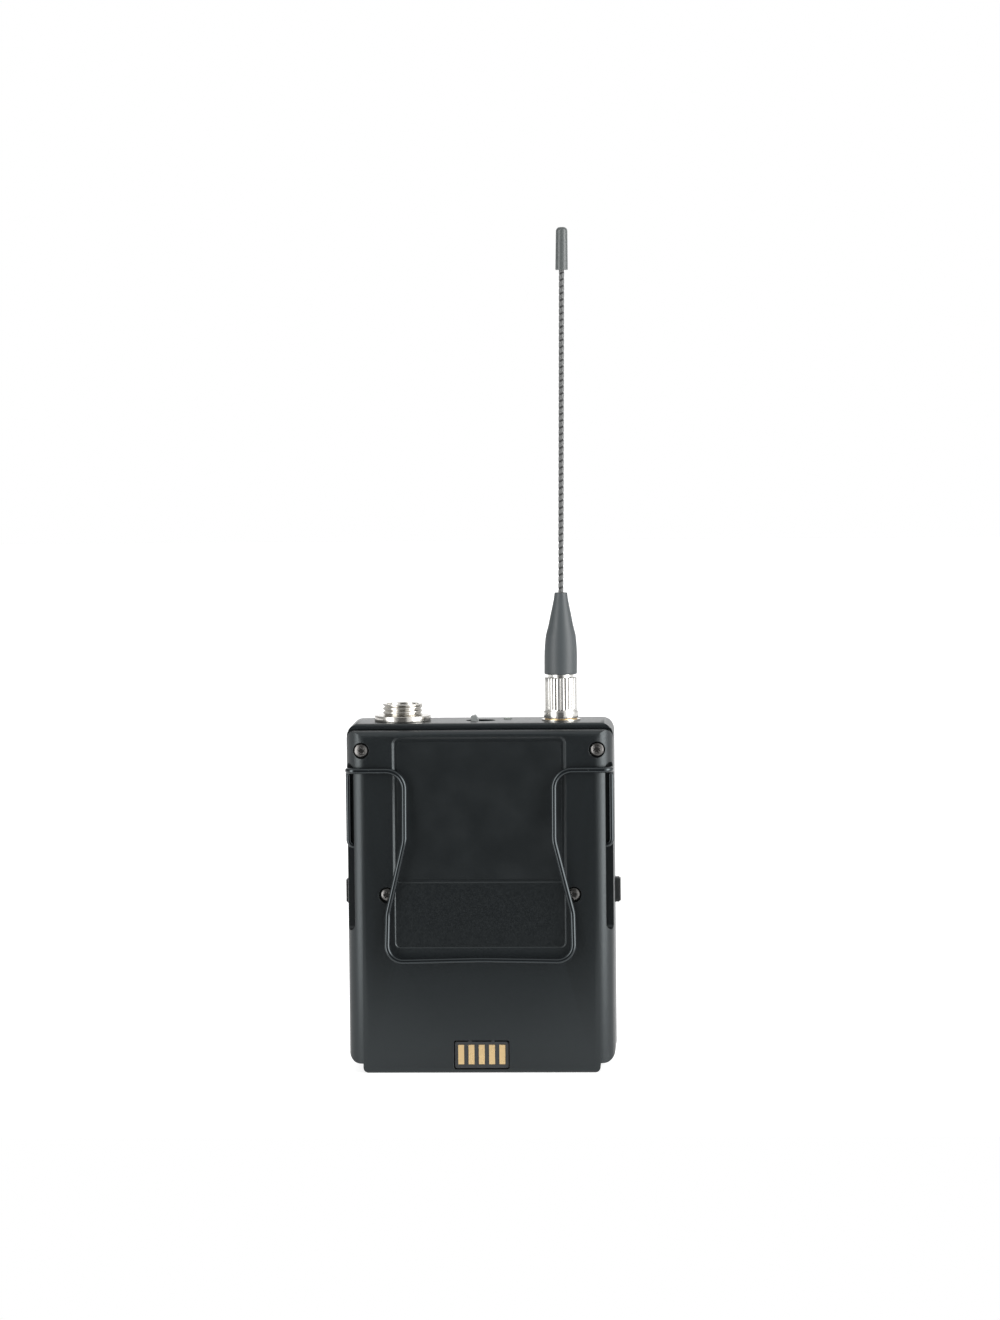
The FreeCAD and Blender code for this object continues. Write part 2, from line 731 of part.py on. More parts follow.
def make_front_housing():
    body = shared(
        "housing_body",
        plan_prism("housing_plan", "0", ("0", "case_height")),
        face_prism("housing_face", "case_height", "top_corner", (REAR, FRONT)),
        prism("housing_side", "X", ("-case_width", "case_width"), [
            ("split_y", "0"),
            (f"{FRONT} - skirt_round", "0", "skirt_round"),
            (FRONT, "skirt_round"),
            (FRONT, "case_height - deck_round", "deck_round"),
            (f"{FRONT} - deck_round", "case_height"),
            ("split_y - deck_lip_reach + lip_round", "case_height", "lip_round"),
            ("split_y - deck_lip_reach", "case_height - lip_round"),
            ("split_y - deck_lip_reach", "case_height - deck_lip"),
            ("split_y", "case_height - deck_lip"),
        ]),
    )
    inside_z = ("skirt_height + wall", "case_height - wall")
    inside_half = "case_width / 2 - wall"
    front_in = f"{FRONT} - wall"
    cavity = shared(
        "housing_cavity",
        plan_prism("housing_cavity_plan", "wall", inside_z),
        prism("housing_cavity_face", "Y", ("split_y", front_in),
              rounded((f"-({inside_half})", inside_half), inside_z, "wall")),
    )

    bay_outer_half = "bay_half + bay_wall"
    bay_outer = block("bay_outer", (f"-({bay_outer_half})", bay_outer_half),
                      ("bay_rear - bulkhead", "bay_front"),
                      ("bay_low - bay_floor", "bay_high + bay_wall"))
    bay_inner = block("bay_inner", ("-bay_half", "bay_half"), ("bay_rear", "bay_front + 1"),
                      ("bay_low", "bay_high"))
    bulkhead = block("bulkhead_plate", (f"-({inside_half})", inside_half),
                     ("bay_rear - bulkhead", "bay_rear"), ("bay_low - bay_floor", "bulkhead_top"))
    rib = block("latch_rib_right", ("rib_in", "rib_out"), ("rib_low_y", "rib_high_y"),
                ("bay_high", "rib_top"))
    ear = rod("ear_right", "X", ("hinge_y", "hinge_z"), ("barrel_half + gap", "case_width / 2"),
              "barrel")
    solid_inside = [
        cut("bay_walls", bay_outer, bay_inner), bulkhead, rib, mirrored("latch_rib_left", rib),
        ear, mirrored("ear_left", ear),
        *screw_bosses("housing_boss", ("split_y", "screw_boss_end"), "screw_boss"),
        *post_rods("board_post", ("split_y", front_in), "post"),
    ]
    hollow = cut("housing_hollow", cavity, *solid_inside)

    opening_x = ("-door_opening", "door_opening")
    door_opening = block("door_opening_cut", opening_x, ("bay_front + gap / 2", f"{FRONT} + 1"),
                         ("door_skirt - gap", "door_top + gap"))
    knuckle_block = block("knuckle_block", opening_x, ("hinge_y", f"{FRONT} + 1"),
                          ("hinge_z", "door_skirt"))
    knuckle_ear = rod("knuckle_ear_right", "X", ("hinge_y", "hinge_z"),
                      ("barrel_half + gap", "case_width / 2"), "barrel")
    knuckles = cut("knuckle_cut", knuckle_block, knuckle_ear, mirrored("knuckle_ear_left", knuckle_ear))
    barrel_x = ("-barrel_half - gap", "barrel_half + gap")
    barrel_room = rod("barrel_room", "X", ("hinge_y", "hinge_z"), barrel_x, "barrel_clear")
    barrel_front = block("barrel_front", barrel_x, ("hinge_y", f"{FRONT} + 1"),
                         ("-1", "door_skirt"))
    barrel_under = block("barrel_under", barrel_x, ("hinge_y - barrel / 2", f"{FRONT} + 1"),
                         ("-1", "hinge_z"))
    pin_hole = rod("pin_hole", "X", ("hinge_y", "hinge_z"), ("-pin_half", "pin_half"), "pin + 0.02")

    latch_hole = prism("latch_hole_right", "X", (inside_half, "case_width"), rounded(
        ("latch_low_y - gap", "latch_high_y + gap"),
        ("latch_z - latch_half_height - gap", "latch_z + latch_half_height + gap"), "latch_round"))
    lens_u = ("lens_left", "lens_right")
    lens_v = ("lens_low", "lens_high")
    lens_recess = prism("lens_recess_cut", "Y", (f"{FRONT} - lens_recess", f"{FRONT} + 1"),
                        rounded(lens_u, lens_v, "latch_round"))
    lens_hole = block("lens_hole", ("lens_left + lens_rim", "lens_right - lens_rim"),
                      ("display_front - 1", FRONT), ("lens_low + lens_rim", "lens_high - lens_rim"))
    key_holes = [
        rod(name + "_hole", "Y", centre, ("key_flange_y", f"{FRONT} + 1"), "key + gap")
        for name, centre in KEY_PLACES.items()]
    infrared_hole = block(
        "infrared_hole",
        ("infrared_x - infrared_half", "infrared_x + infrared_half"), ("key_flange_y", f"{FRONT} + 1"),
        ("infrared_z - infrared_half_height", "infrared_z + infrared_half_height"))

    slot = prism("switch_slot", "Z", ("case_height - 2 * wall", "case_height + 1"), rounded(
        ("-dish_half", "dish_half"), ("deck_y - dish_half_depth", "deck_y + dish_half_depth"),
        "dish_half_depth - 0.01"))
    dish = prism("switch_dish", "Z", ("case_height - dish_depth", "case_height + 1"), rounded(
        ("-dish_half - dish_rim", "dish_half + dish_rim"),
        ("deck_y - dish_half_depth - dish_rim", "deck_y + dish_half_depth + dish_rim"),
        "dish_half_depth + dish_rim - 0.01"))
    lamp_hole = rod("lamp_hole", "Z", ("lamp_x", "lamp_y"),
                    ("case_height - 2 * wall", "case_height + 1"), "lamp + 0.03")
    return cut(
        "housing_cut", body, hollow, door_opening, knuckles, barrel_room, barrel_front, barrel_under,
        pin_hole, latch_hole, mirrored("latch_hole_left", latch_hole), lens_recess, lens_hole,
        *key_holes, infrared_hole, slot, dish, lamp_hole,
        deck_hole("mic_hole", "mic_x", "jack_hole"),
        deck_hole("antenna_hole", "antenna_x", "jack_shoulder"),
        *screw_bosses("housing_core", ("split_y - 1", "split_y + screw_length"), "screw_core"),
        *post_rods("post_core", ("split_y - 1", "split_y + board_screw_length"), "post_core"))


# ---------------------------------------------------------------- fasteners

def make_case_screw(name, x, z):
    """A button-head screw with a six-lobe drive; its head sits in the counterbore."""
    seat = "-counterbore_y"
    crown = f"{seat} - screw_head_height"
    blank = turned(name + "_blank", x, "0", [
        ("0", crown, "screw_dome"),
        ("screw_head", f"{crown} + screw_dome - sqrt(screw_dome * screw_dome - screw_head * screw_head)"),
        ("screw_head", seat),
        ("screw_shank", seat),
        ("screw_shank", f"{seat} + screw_length"),
        ("0", f"{seat} + screw_length"),
    ])
    blank.Placement.Rotation = FreeCAD.Rotation(FreeCAD.Vector(1, 0, 0), -90)
    place(blank, x, "0", z)
    drive_y = (f"{crown} - 1", f"{crown} + drive_depth")
    drive = [rod(name + "_drive", "Y", (x, z), drive_y, "drive_radius")]
    for lobe in range(6):
        across = f"{x} + drive_radius * cos({60 * lobe} deg)"
        up = f"{z} + drive_radius * sin({60 * lobe} deg)"
        drive.append(rod(f"{name}_lobe_{lobe}", "Y", (across, up), drive_y, "drive_lobe"))
    return cut(name, blank, *drive)


def make_case_screws():
    screws = []
    for place_name, x, z in SCREW_PLACES:
        screw = make_case_screw(f"case_screw_{place_name}", x, z)
        screws += [screw, mirrored(f"case_screw_{place_name}_left", screw)]
    return group("case_screw_set", *screws)


def make_board_screws():
    screws = []
    seat = "split_y - board_thick"
    for place_name, x, z in POST_PLACES:
        name = f"board_screw_{place_name}"
        head = rod(name + "_head", "Y", (x, z), (f"{seat} - 1", seat), "board_screw_head")
        shank = rod(name + "_shank", "Y", (x, z), (seat, f"{seat} + board_screw_length"), "board_screw")
        screw = fused(name, head, shank)
        screws += [screw, mirrored(name + "_left", screw)]
    return group("board_screw_set", *screws)


# ---------------------------------------------------------------- belt clip

def make_belt_clip():
    """The sprung loop: a crossbar, two cranked legs and a foot bar, closed at the crossbar's ends."""
    right = [
        ("clip_split", "-clip_y", "clip_z"),
        ("clip_half", "-clip_y", "clip_z"),
        ("clip_half", "-clip_belly_y", "clip_belly_z"),
        ("clip_kink_half", "-clip_kink_y", "clip_kink_z"),
        ("clip_foot_half", "-clip_foot_y", "clip_foot_z"),
    ]
    middle = [("0", "-clip_foot_y", "clip_foot_z + clip_foot_bow")]
    left = [(f"-{x}", y, z) for x, y, z in reversed(right)]
    bends = ["clip_shoulder_bend", "clip_kink_bend", "clip_kink_bend", "clip_foot_bend"]
    return bent_wire("clip_wire", right + middle + left, bends + ["clip_bow_bend"] + bends[::-1], "wire")


def make_belt_clip_arms():
    """The wire's two ends: round the case's edge, down the side channel and into the hook hole."""
    arms = []
    for side_name, side in (("right", ""), ("left", "-")):
        path = [
            (f"{side}(clip_split + clip_end_gap)", "-clip_y", "clip_z"),
            (f"{side}arm_half", "-clip_y", "clip_z"),
            (f"{side}arm_half", "-hook_y", "clip_z"),
            (f"{side}arm_half", "-hook_y", "hook_z"),
            (f"{side}arm_end", "-hook_y", "hook_z"),
        ]
        arms.append(bent_wire(f"arm_{side_name}", path, ["arm_bend", "arm_small_bend", "arm_small_bend"],
                              "wire"))
    return group("arm_set", *arms)


# ---------------------------------------------------------------- label and charging contacts

def make_rating_label():
    face = f"{REAR} + recess_depth"
    return prism("label_plate", "Y", (f"{face} - label_thick", face), rounded(
        ("-label_half", "label_half"), ("recess_step + label_margin", "recess_high - label_margin"),
        "latch_round"))


def contact_bars(prefix, y):
    bars = []
    for index in range(-2, 3):
        middle = f"{index} * contact_pitch"
        bars.append(block(f"{prefix}_{index + 3}",
                          (f"{middle} - contact_width / 2", f"{middle} + contact_width / 2"), y,
                          ("contact_low", "contact_high")))
    return bars


def make_contact_block():
    """A plate with a slot for each bar; two tabs on its top edge centre it in the window."""
    face = f"{REAR} + block_inset"
    plate = prism("block_plate", "Y", (face, "-block_front"), rounded(
        ("-window_half + block_gap", "window_half - block_gap"),
        ("window_low + block_gap", "window_high - block_gap_top"), "window_corner"))
    tab = block("block_tab_right", ("board_tab_half", "board_tab_half + block_tab"),
                (face, "-block_front"), ("contact_high", "window_high"))
    blank = fused("block_blank", plate, tab, mirrored("block_tab_left", tab))
    return cut("block_cut", blank, *contact_bars("bar_slot", (f"{face} - 1", "-block_front + 1")))


def make_contact_board():
    """Behind the block; only its middle reaches up into the gap over the block."""
    board_y = ("-block_front", "-block_front + contact_board_thick")
    plate = block("contact_board_plate", ("-window_half + 2 * gap", "window_half - 2 * gap"), board_y,
                  ("window_low + 2 * gap", "window_high - board_shoulder"))
    middle = block("contact_board_middle", ("-board_tab_half", "board_tab_half"), board_y,
                   ("window_low + 2 * gap", "window_high - 2 * gap"))
    return fused("contact_board_solid", plate, middle)


# ---------------------------------------------------------------- battery door, latches and pack

def make_battery_door():
    panel_y = (f"{FRONT} - wall", FRONT)
    panel = prism("door_panel", "Y", panel_y, [
        ("-door_half", "door_skirt"),
        ("-barrel_half", "door_skirt"),
        ("-barrel_half", "hinge_z"),
        ("barrel_half", "hinge_z"),
        ("barrel_half", "door_skirt"),
        ("door_half", "door_skirt"),
        ("door_half", "door_top - door_corner", "door_corner"),
        ("door_half - door_corner", "door_top"),
        ("-door_half + door_corner", "door_top", "door_corner"),
        ("-door_half", "door_top - door_corner"),
    ])
    barrel = rod("door_barrel", "X", ("hinge_y", "hinge_z"), ("-barrel_half", "barrel_half"), "barrel")
    keeper_z = ("latch_z - keeper_half_height", "latch_z + keeper_half_height")
    tab = block("keeper_right", ("keeper_in", "keeper_out"), ("keeper_low_y", panel_y[0]), keeper_z)
    lip = block("keeper_lip_right", ("keeper_lip_in", "keeper_in"), ("keeper_low_y", "keeper_lip_y"),
                keeper_z)
    keeper = fused("keeper", tab, lip)
    blank = fused("door_blank", panel, barrel, keeper, mirrored("keeper_left", keeper))
    bore = rod("door_bore", "X", ("hinge_y", "hinge_z"), ("-case_width / 2", "case_width / 2"),
               "pin_bore")
    return cut("door_cut", blank, bore)


def make_latch_button():
    """The right-hand latch: a cap through the wall, a flange behind it and a nose for the keeper."""
    cap_top = "case_width / 2 + latch_proud"
    cap = prism("latch_cap", "X", ("flange_out", f"{cap_top} - latch_edge"), rounded(
        ("latch_low_y", "latch_high_y"),
        ("latch_z - latch_half_height", "latch_z + latch_half_height"), "latch_round"))
    crown = prism("latch_crown", "X", (f"{cap_top} - latch_edge", cap_top), rounded(
        ("latch_low_y + latch_edge", "latch_high_y - latch_edge"),
        ("latch_z - latch_half_height + latch_edge", "latch_z + latch_half_height - latch_edge"),
        "latch_edge"))
    flange = block("latch_flange", ("flange_in", "flange_out"), ("flange_low_y", "flange_high_y"),
                   ("latch_z - flange_half_height", "latch_z + flange_half_height"))
    nose_z = ("latch_z - nose_half_height", "latch_z + nose_half_height")
    nose = block("latch_nose", ("nose_in", "flange_in"), ("nose_low_y", "flange_high_y"), nose_z)
    post = block("latch_post", ("nose_in", "post_out"), ("flange_high_y", "post_high_y"), nose_z)
    wedge = block("latch_wedge", ("post_out", "wedge_out"), ("wedge_low_y", "post_high_y"), nose_z)
    return fused("latch_right", cap, crown, flange, nose, post, wedge)


def make_latch_spring(name, side):
    start = {"right": "rib_out + spring_wire * 1.5", "left": "-flange_in + spring_wire * 1.5"}[side]
    return coil(name, (start, "spring_y", "latch_z"), "flange_in - rib_out - spring_wire * 3",
                "spring_radius", "spring_wire", "spring_pitch")


def make_battery_pack():
    """Two round cells side by side in one welded sleeve."""
    middle_y = "(pack_rear + pack_front) / 2"
    width = ("-pack_half", "pack_half")
    return prism("pack_sleeve", "Z", ("pack_low", "pack_high"),
                 rounded(width, ("pack_rear", "pack_front"), f"pack_front - {middle_y} - 0.1"))


def make_battery_terminals():
    strips = []
    for index in (-1, 0, 1):
        middle = f"{index} * terminal_pitch"
        strips.append(block(
            f"terminal_{index + 2}",
            (f"{middle} - terminal_width / 2", f"{middle} + terminal_width / 2"),
            ("pack_rear + wall", "pack_front - wall * 2"), ("pack_high", "bay_high")))
    return group("terminal_set", *strips)


# ---------------------------------------------------------------- boards and what they carry

def make_main_board():
    plate = block("main_plate", ("-main_half", "main_half"), ("split_y - board_thick", "split_y"),
                  ("main_low", "main_high"))
    return cut("main_cut", plate,
               *post_rods("main_hole", ("split_y - 2 * board_thick", "split_y + 1"), "board_screw + gap"))


def make_rf_shield():
    board_y = "split_y - board_thick"
    box_y = (f"{board_y} - shield_height", board_y)
    outer = block("shield_outer", ("shield_left", "shield_right"), box_y, ("shield_low", "shield_high"))
    inner = block(
        "shield_inner", ("shield_left + shield_thick", "shield_right - shield_thick"),
        (f"{box_y[0]} + shield_thick", f"{board_y} + 1"),
        ("shield_low + shield_thick", "shield_high - shield_thick"))
    return cut("shield_cut", outer, inner)


def make_tact_switches():
    switches = []
    face = "interface_y + interface_thick"
    for name, (x, z) in KEY_PLACES.items():
        base = block(name + "_tact", (f"{x} - tact_half", f"{x} + tact_half"),
                     (face, f"{face} + tact_height"), (f"{z} - tact_half", f"{z} + tact_half"))
        plunger = rod(name + "_plunger", "Y", (x, z),
                      (f"{face} + tact_height", f"{face} + tact_height + tact_plunger_height"),
                      "tact_plunger")
        switches.append(fused(name + "_switch", base, plunger))
    return group("tact_set", *switches)


# ---------------------------------------------------------------- display, keys and infrared window

def make_menu_button(name, x, z):
    cap = rod(name + "_cap", "Y", (x, z),
              ("key_flange_y + key_flange_thick", f"{FRONT} + key_proud"), "key")
    flange = rod(name + "_flange", "Y", (x, z),
                 ("key_flange_y", "key_flange_y + key_flange_thick"), "key_flange")
    return fused(name + "_solid", cap, flange)


def make_display_window():
    lens_y = (f"{FRONT} - lens_recess", f"{FRONT} - lens_recess + lens_thick")
    return prism("lens_plate", "Y", lens_y, rounded(
        ("lens_left + gap", "lens_right - gap"), ("lens_low + gap", "lens_high - gap"),
        "latch_round - gap"))


def make_infrared_window():
    front_in = f"{FRONT} - wall"
    across = "infrared_half - gap / 2"
    up = "infrared_half_height - gap / 2"
    lens = block("infrared_lens", (f"infrared_x - ({across})", f"infrared_x + {across}"),
                 (front_in, FRONT), (f"infrared_z - ({up})", f"infrared_z + {up}"))
    rim = block("infrared_rim_plate",
                (f"infrared_x - {across} - infrared_rim", f"infrared_x + {across} + infrared_rim"),
                (f"{front_in} - infrared_rim", front_in),
                (f"infrared_z - {up} - infrared_rim", f"infrared_z + {up} + infrared_rim"))
    return fused("infrared_solid", lens, rim)


# ---------------------------------------------------------------- microphone jack

def make_mic_jack_shell():
    """A tube whose upper end carries four rings of thread."""
    points = [("jack_bore", "jack_low"), ("jack_under", "jack_low"), ("jack_under", "thread_low")]
    for turn in range(3):
        base = f"thread_low + {turn} * thread_pitch"
        slope = "(thread_pitch - thread_crest) / 2"
        points += [
            ("jack_root", f"{base} + {slope}"),
            ("jack_thread", f"{base} + 2 * {slope}"),
            ("jack_thread", f"{base} + thread_pitch"),
        ]
    points = points[:-1] + [("jack_thread", "jack_high - gap"), ("jack_thread - gap", "jack_high"),
                            ("jack_bore", "jack_high")]
    return turned("jack_shell", "mic_x", "deck_y", points)


def make_mic_jack_collar_nut():
    top = "case_height + ring_height"
    return turned("collar_nut", "mic_x", "deck_y", [
        ("jack_nut_bore", "case_height"),
        ("ring", "case_height"),
        ("ring", f"{top} - ring_edge"),
        ("ring - ring_edge", top),
        ("jack_nut_bore", top),
    ])


def hex_nut(name, x, flats, bore, z):
    """A hexagonal nut on an upright axis in the deck's centre line."""
    corner = f"{flats} / 2 / cos(30 deg)"
    points = []
    for index in range(6):
        points.append((f"{corner} * cos({60 * index} deg)", f"{corner} * sin({60 * index} deg)"))
    hexagon = place(prism(name + "_hexagon", "Z", z, points), x, "deck_y")
    hole = rod(name + "_hole", "Z", (x, "deck_y"), (f"{z[0]} - 1", f"{z[1]} + 1"), bore)
    return cut(name + "_cut", hexagon, hole)


def mic_pin_place(index):
    """The centre of one of the four pins on their circle."""
    angle = 45 + 90 * index
    return (f"mic_x + mic_pin_circle * cos({angle} deg)", f"deck_y + mic_pin_circle * sin({angle} deg)")


def mic_pin_rods(prefix, span):
    return [rod(f"{prefix}_{index + 1}", "Z", mic_pin_place(index), span, "mic_pin")
            for index in range(4)]


def make_mic_jack_insulator():
    disc = rod("insulator_disc", "Z", ("mic_x", "deck_y"), ("insulator_low", "insulator_high"),
               "jack_bore")
    return cut("insulator_cut", disc, *mic_pin_rods("insulator_hole", ("insulator_low - 1", "jack_high")))


def make_mic_jack_wires():
    """Each wire drops from its pin and turns back to the main board's front face."""
    wires = []
    for index in range(4):
        x, y = mic_pin_place(index)
        front_pin = index < 2
        low = "mic_wire_low" if front_pin else "mic_wire_low + mic_wire_step"
        path = [(x, y, "mic_pin_low"), (x, y, low), (x, "split_y", low)]
        wires.append(bent_wire(f"mic_wire_{index + 1}", path, ["mic_wire * 3"], "mic_wire"))
    return group("mic_wire_set", *wires)


# ---------------------------------------------------------------- antenna

def make_antenna_jack():
    """A coaxial jack through the deck: its flange rests on the washer, its nut is inside."""
    seat = "case_height + washer_thick"
    return turned("coax_jack", "antenna_x", "deck_y", [
        ("dielectric", "jack_tail_low"),
        ("jack_tail", "jack_tail_low"),
        ("jack_tail", "jack_body_low"),
        ("jack_shoulder", "jack_body_low"),
        ("jack_shoulder", seat),
        ("jack_flange", seat),
        ("jack_flange", "jack_shoulder_top"),
        ("barrel_thread", "jack_shoulder_top"),
        ("barrel_thread", "barrel_top"),
        ("dielectric", "barrel_top"),
    ])


def make_antenna_washer():
    return turned("washer_ring", "antenna_x", "deck_y", [
        ("jack_shoulder", "case_height"),
        ("washer", "case_height"),
        ("washer", "case_height + washer_thick"),
        ("jack_shoulder", "case_height + washer_thick"),
    ])


def make_antenna_jack_dielectric():
    return turned("dielectric_tube", "antenna_x", "deck_y", [
        ("socket", "jack_tail_low"), ("dielectric", "jack_tail_low"),
        ("dielectric", "barrel_top"), ("socket", "barrel_top")])


def make_antenna_jack_contact():
    return turned("socket_rod", "antenna_x", "deck_y", [
        ("0", "jack_tail_low"),
        ("socket", "jack_tail_low"),
        ("socket", "barrel_top"),
        ("socket_bore", "barrel_top"),
        ("socket_bore", "socket_low"),
        ("0", "socket_low"),
    ])


def make_antenna_coupling_nut():
    """A turned nut with a smooth collar below and fine flutes above."""
    blank = turned("nut_blank", "antenna_x", "deck_y", [
        ("nut_bore", "nut_low"),
        ("nut_collar - gap", "nut_low"),
        ("nut_collar", "nut_low + gap"),
        ("nut_collar", "nut_collar_top"),
        ("nut_body", "nut_collar_top"),
        ("nut_body", "nut_top - gap * 2"),
        ("nut_body - gap * 2", "nut_top"),
        ("nut_neck_bore", "nut_top"),
        ("nut_neck_bore", "nut_bore_top"),
        ("nut_bore", "nut_bore_top"),
    ])
    flutes = []
    for index in range(int(SIZES["flute_count"])):
        angle = f"({index} * 360 / flute_count) * 1 deg"
        centre = (f"antenna_x + nut_body * cos({angle})", f"deck_y + nut_body * sin({angle})")
        flutes.append(rod(f"flute_{index + 1}", "Z", centre, ("nut_collar_top + gap", "nut_top + 1"),
                          "flute"))
    return cut("nut_cut", blank, *flutes)


def make_antenna_plug():
    """The captive flange inside the nut, the stem through it and the neck above it."""
    return turned("plug_body", "antenna_x", "deck_y", [
        ("contact_pin", "plug_flange_low"),
        ("plug_flange", "plug_flange_low"),
        ("plug_flange", "nut_bore_top - gap"),
        ("plug_stem", "nut_bore_top - gap"),
        ("plug_stem", "plug_neck_low"),
        ("plug_neck", "plug_neck_low"),
        ("plug_neck", "boot_low"),
        ("contact_pin", "boot_low"),
    ])


def make_antenna_boot():
    """A nearly straight sleeve that narrows through a soft shoulder into a long taper."""
    return turned("boot_sleeve", "antenna_x", "deck_y", [
        ("whip_bore", "boot_low"),
        ("boot_foot - boot_foot_round", "boot_low", "boot_foot_round"),
        ("boot_foot", "boot_low + boot_foot_round"),
        ("boot_shoulder", "boot_shoulder_z", "(boot_waist_z - boot_shoulder_z) * 2.6"),
        ("(boot_shoulder + boot_waist) / 2 + gap", "(boot_shoulder_z + boot_waist_z) / 2 + gap * 2",
         "-(boot_waist_z - boot_shoulder_z) * 2.6"),
        ("boot_waist", "boot_waist_z"),
        ("boot_top", "boot_top_z"),
        ("whip_bore", "boot_top_z"),
    ])


def make_antenna_tip_cap():
    return turned("tip_cap", "antenna_x", "deck_y", [
        ("whip_bore", "cap_low"),
        ("cap_foot", "cap_low"),
        ("cap_head", "cap_top - cap_dome",
         "(cap_head * cap_head + cap_dome * cap_dome) / 2 / cap_dome"),
        ("0", "cap_top"),
        ("0", "whip_top"),
        ("whip_bore", "whip_top"),
    ])


def make_antenna_pigtail():
    path = [
        ("antenna_x", "deck_y", "jack_tail_low"),
        ("antenna_x", "deck_y", "coax_low"),
        ("antenna_x", "split_y", "coax_low"),
    ]
    return bent_wire("pigtail", path, ["coax_bend"], "coax")


# ---------------------------------------------------------------- power switch and lamp

def make_power_switch_body():
    box = block("switch_box", ("-switch_half", "switch_half"),
                ("deck_y - switch_half_depth", "deck_y + switch_half_depth"),
                ("switch_low", "case_height - wall"))
    pocket = block("switch_pocket", ("-switch_pocket_half", "switch_pocket_half"),
                   ("deck_y - switch_pocket_depth", "deck_y + switch_pocket_depth"),
                   ("switch_pocket_low", "case_height"))
    return cut("switch_cut", box, pocket)


def make_power_switch_lever():
    """The lever leans to one side of its pivot; the other rest is the mirror image."""
    reach = "lever_length"
    hub = rod("lever_hub_rod", "Y", ("0", "0"), ("-lever_half_depth", "lever_half_depth"), "lever_hub")
    blade = prism("lever_blade", "Y", ("-lever_half_depth", "lever_half_depth"), [
        ("-lever_half", "0"),
        ("lever_half", "0"),
        ("lever_half", f"{reach} - lever_tip"),
        ("lever_half * 0.7", f"{reach} - gap * 2", "lever_tip * 4"),
        ("-lever_half * 0.7", f"{reach} - gap * 2"),
        ("-lever_half", f"{reach} - lever_tip"),
    ])
    lever = fused("lever_solid", hub, blade)
    lever.Placement.Rotation = FreeCAD.Rotation(FreeCAD.Vector(0, 1, 0), -number("lever_tilt"))
    return place(lever, "0", "deck_y", "pivot_z")


def build():
    subpart("rear_cover", make_rear_cover())
    subpart("front_housing", make_front_housing())
    subpart("case_screws", make_case_screws())
    subpart("board_screws", make_board_screws())
    subpart("belt_clip", make_belt_clip())
    subpart("belt_clip_arms", make_belt_clip_arms())
    subpart("rating_label", make_rating_label())
    subpart("contact_block", make_contact_block())
    bar_y = (f"{REAR} + block_inset - contact_proud", "-block_front")
    subpart("charging_contacts", group("bar_set", *contact_bars("bar", bar_y)))
    subpart("contact_board", make_contact_board())

    subpart("battery_door", make_battery_door())
    subpart("door_hinge_pin",
            rod("hinge_rod", "X", ("hinge_y", "hinge_z"), ("-pin_half", "pin_half"), "pin"))
    subpart("door_pad", block("door_pad_sheet", ("-pad_half", "pad_half"),
                              (f"{FRONT} - wall - pad_thick", f"{FRONT} - wall"),
                              ("pad_low", "pad_high")))
    latch = subpart("latch_button_right", make_latch_button())
    subpart("latch_button_left", mirrored("latch_left", latch))
    for side in ("left", "right"):
        subpart(f"latch_spring_{side}", make_latch_spring(f"spring_{side}", side))
    subpart("battery_pack", make_battery_pack())
    subpart("battery_terminals", make_battery_terminals())

    subpart("main_board", make_main_board())
    subpart("rf_shield", make_rf_shield())
    subpart("board_connector", block("connector_body", ("-connector_half", "connector_half"),
                                     ("split_y", "interface_y"), ("connector_low", "connector_high")))
    subpart("interface_board", block("interface_plate", ("interface_left", "interface_right"),
                                     ("interface_y", "interface_y + interface_thick"),
                                     ("interface_low", "interface_high")))
    subpart("tact_switches", make_tact_switches())
    subpart("display_module", block(
        "display_box", ("lens_left + display_inset", "lens_right - display_inset"),
        ("interface_y + interface_thick", "display_front"),
        ("lens_low + display_inset", "lens_high - display_inset")))
    subpart("display_window", make_display_window())
    for name, (x, z) in KEY_PLACES.items():
        subpart(name, make_menu_button(name, x, z))
    subpart("ir_window", make_infrared_window())

    subpart("mic_jack_shell", make_mic_jack_shell())
    subpart("mic_jack_collar_nut", make_mic_jack_collar_nut())
    subpart("mic_jack_inner_nut", hex_nut("mic_nut", "mic_x", "inner_nut_flats", "jack_nut_bore",
                                          ("inner_nut_low", "inner_nut_high")))
    subpart("mic_jack_insulator", make_mic_jack_insulator())
    subpart("mic_jack_pins", group("mic_pin_set", *mic_pin_rods("mic_pin", ("mic_pin_low", "mic_pin_high"))))
    subpart("mic_jack_wires", make_mic_jack_wires())

    subpart("antenna_jack", make_antenna_jack())
    subpart("antenna_washer", make_antenna_washer())
    subpart("antenna_inner_nut", hex_nut("antenna_nut", "antenna_x", "jack_nut_flats", "jack_shoulder",
                                         ("jack_nut_low", "case_height - wall")))
    subpart("antenna_jack_dielectric", make_antenna_jack_dielectric())
    subpart("antenna_jack_contact", make_antenna_jack_contact())
    subpart("antenna_pigtail", make_antenna_pigtail())
    subpart("antenna_coupling_nut", make_antenna_coupling_nut())
    subpart("antenna_plug", make_antenna_plug())
    subpart("antenna_contact_pin", rod("contact_pin_rod", "Z", ("antenna_x", "deck_y"),
                                       ("contact_pin_low", "boot_low"), "contact_pin"))
    subpart("antenna_boot", make_antenna_boot())
    subpart("antenna_whip", rod("whip_rod", "Z", ("antenna_x", "deck_y"), ("boot_low", "whip_top"),
                                "whip"))
    subpart("antenna_tip_cap", make_antenna_tip_cap())

    subpart("power_switch_body", make_power_switch_body())
    subpart("power_switch_lever", make_power_switch_lever())
    subpart("power_led_lens", rod("lamp_pipe", "Z", ("lamp_x", "lamp_y"),
                                  ("lamp_low", "case_height + lamp_proud"), "lamp"))


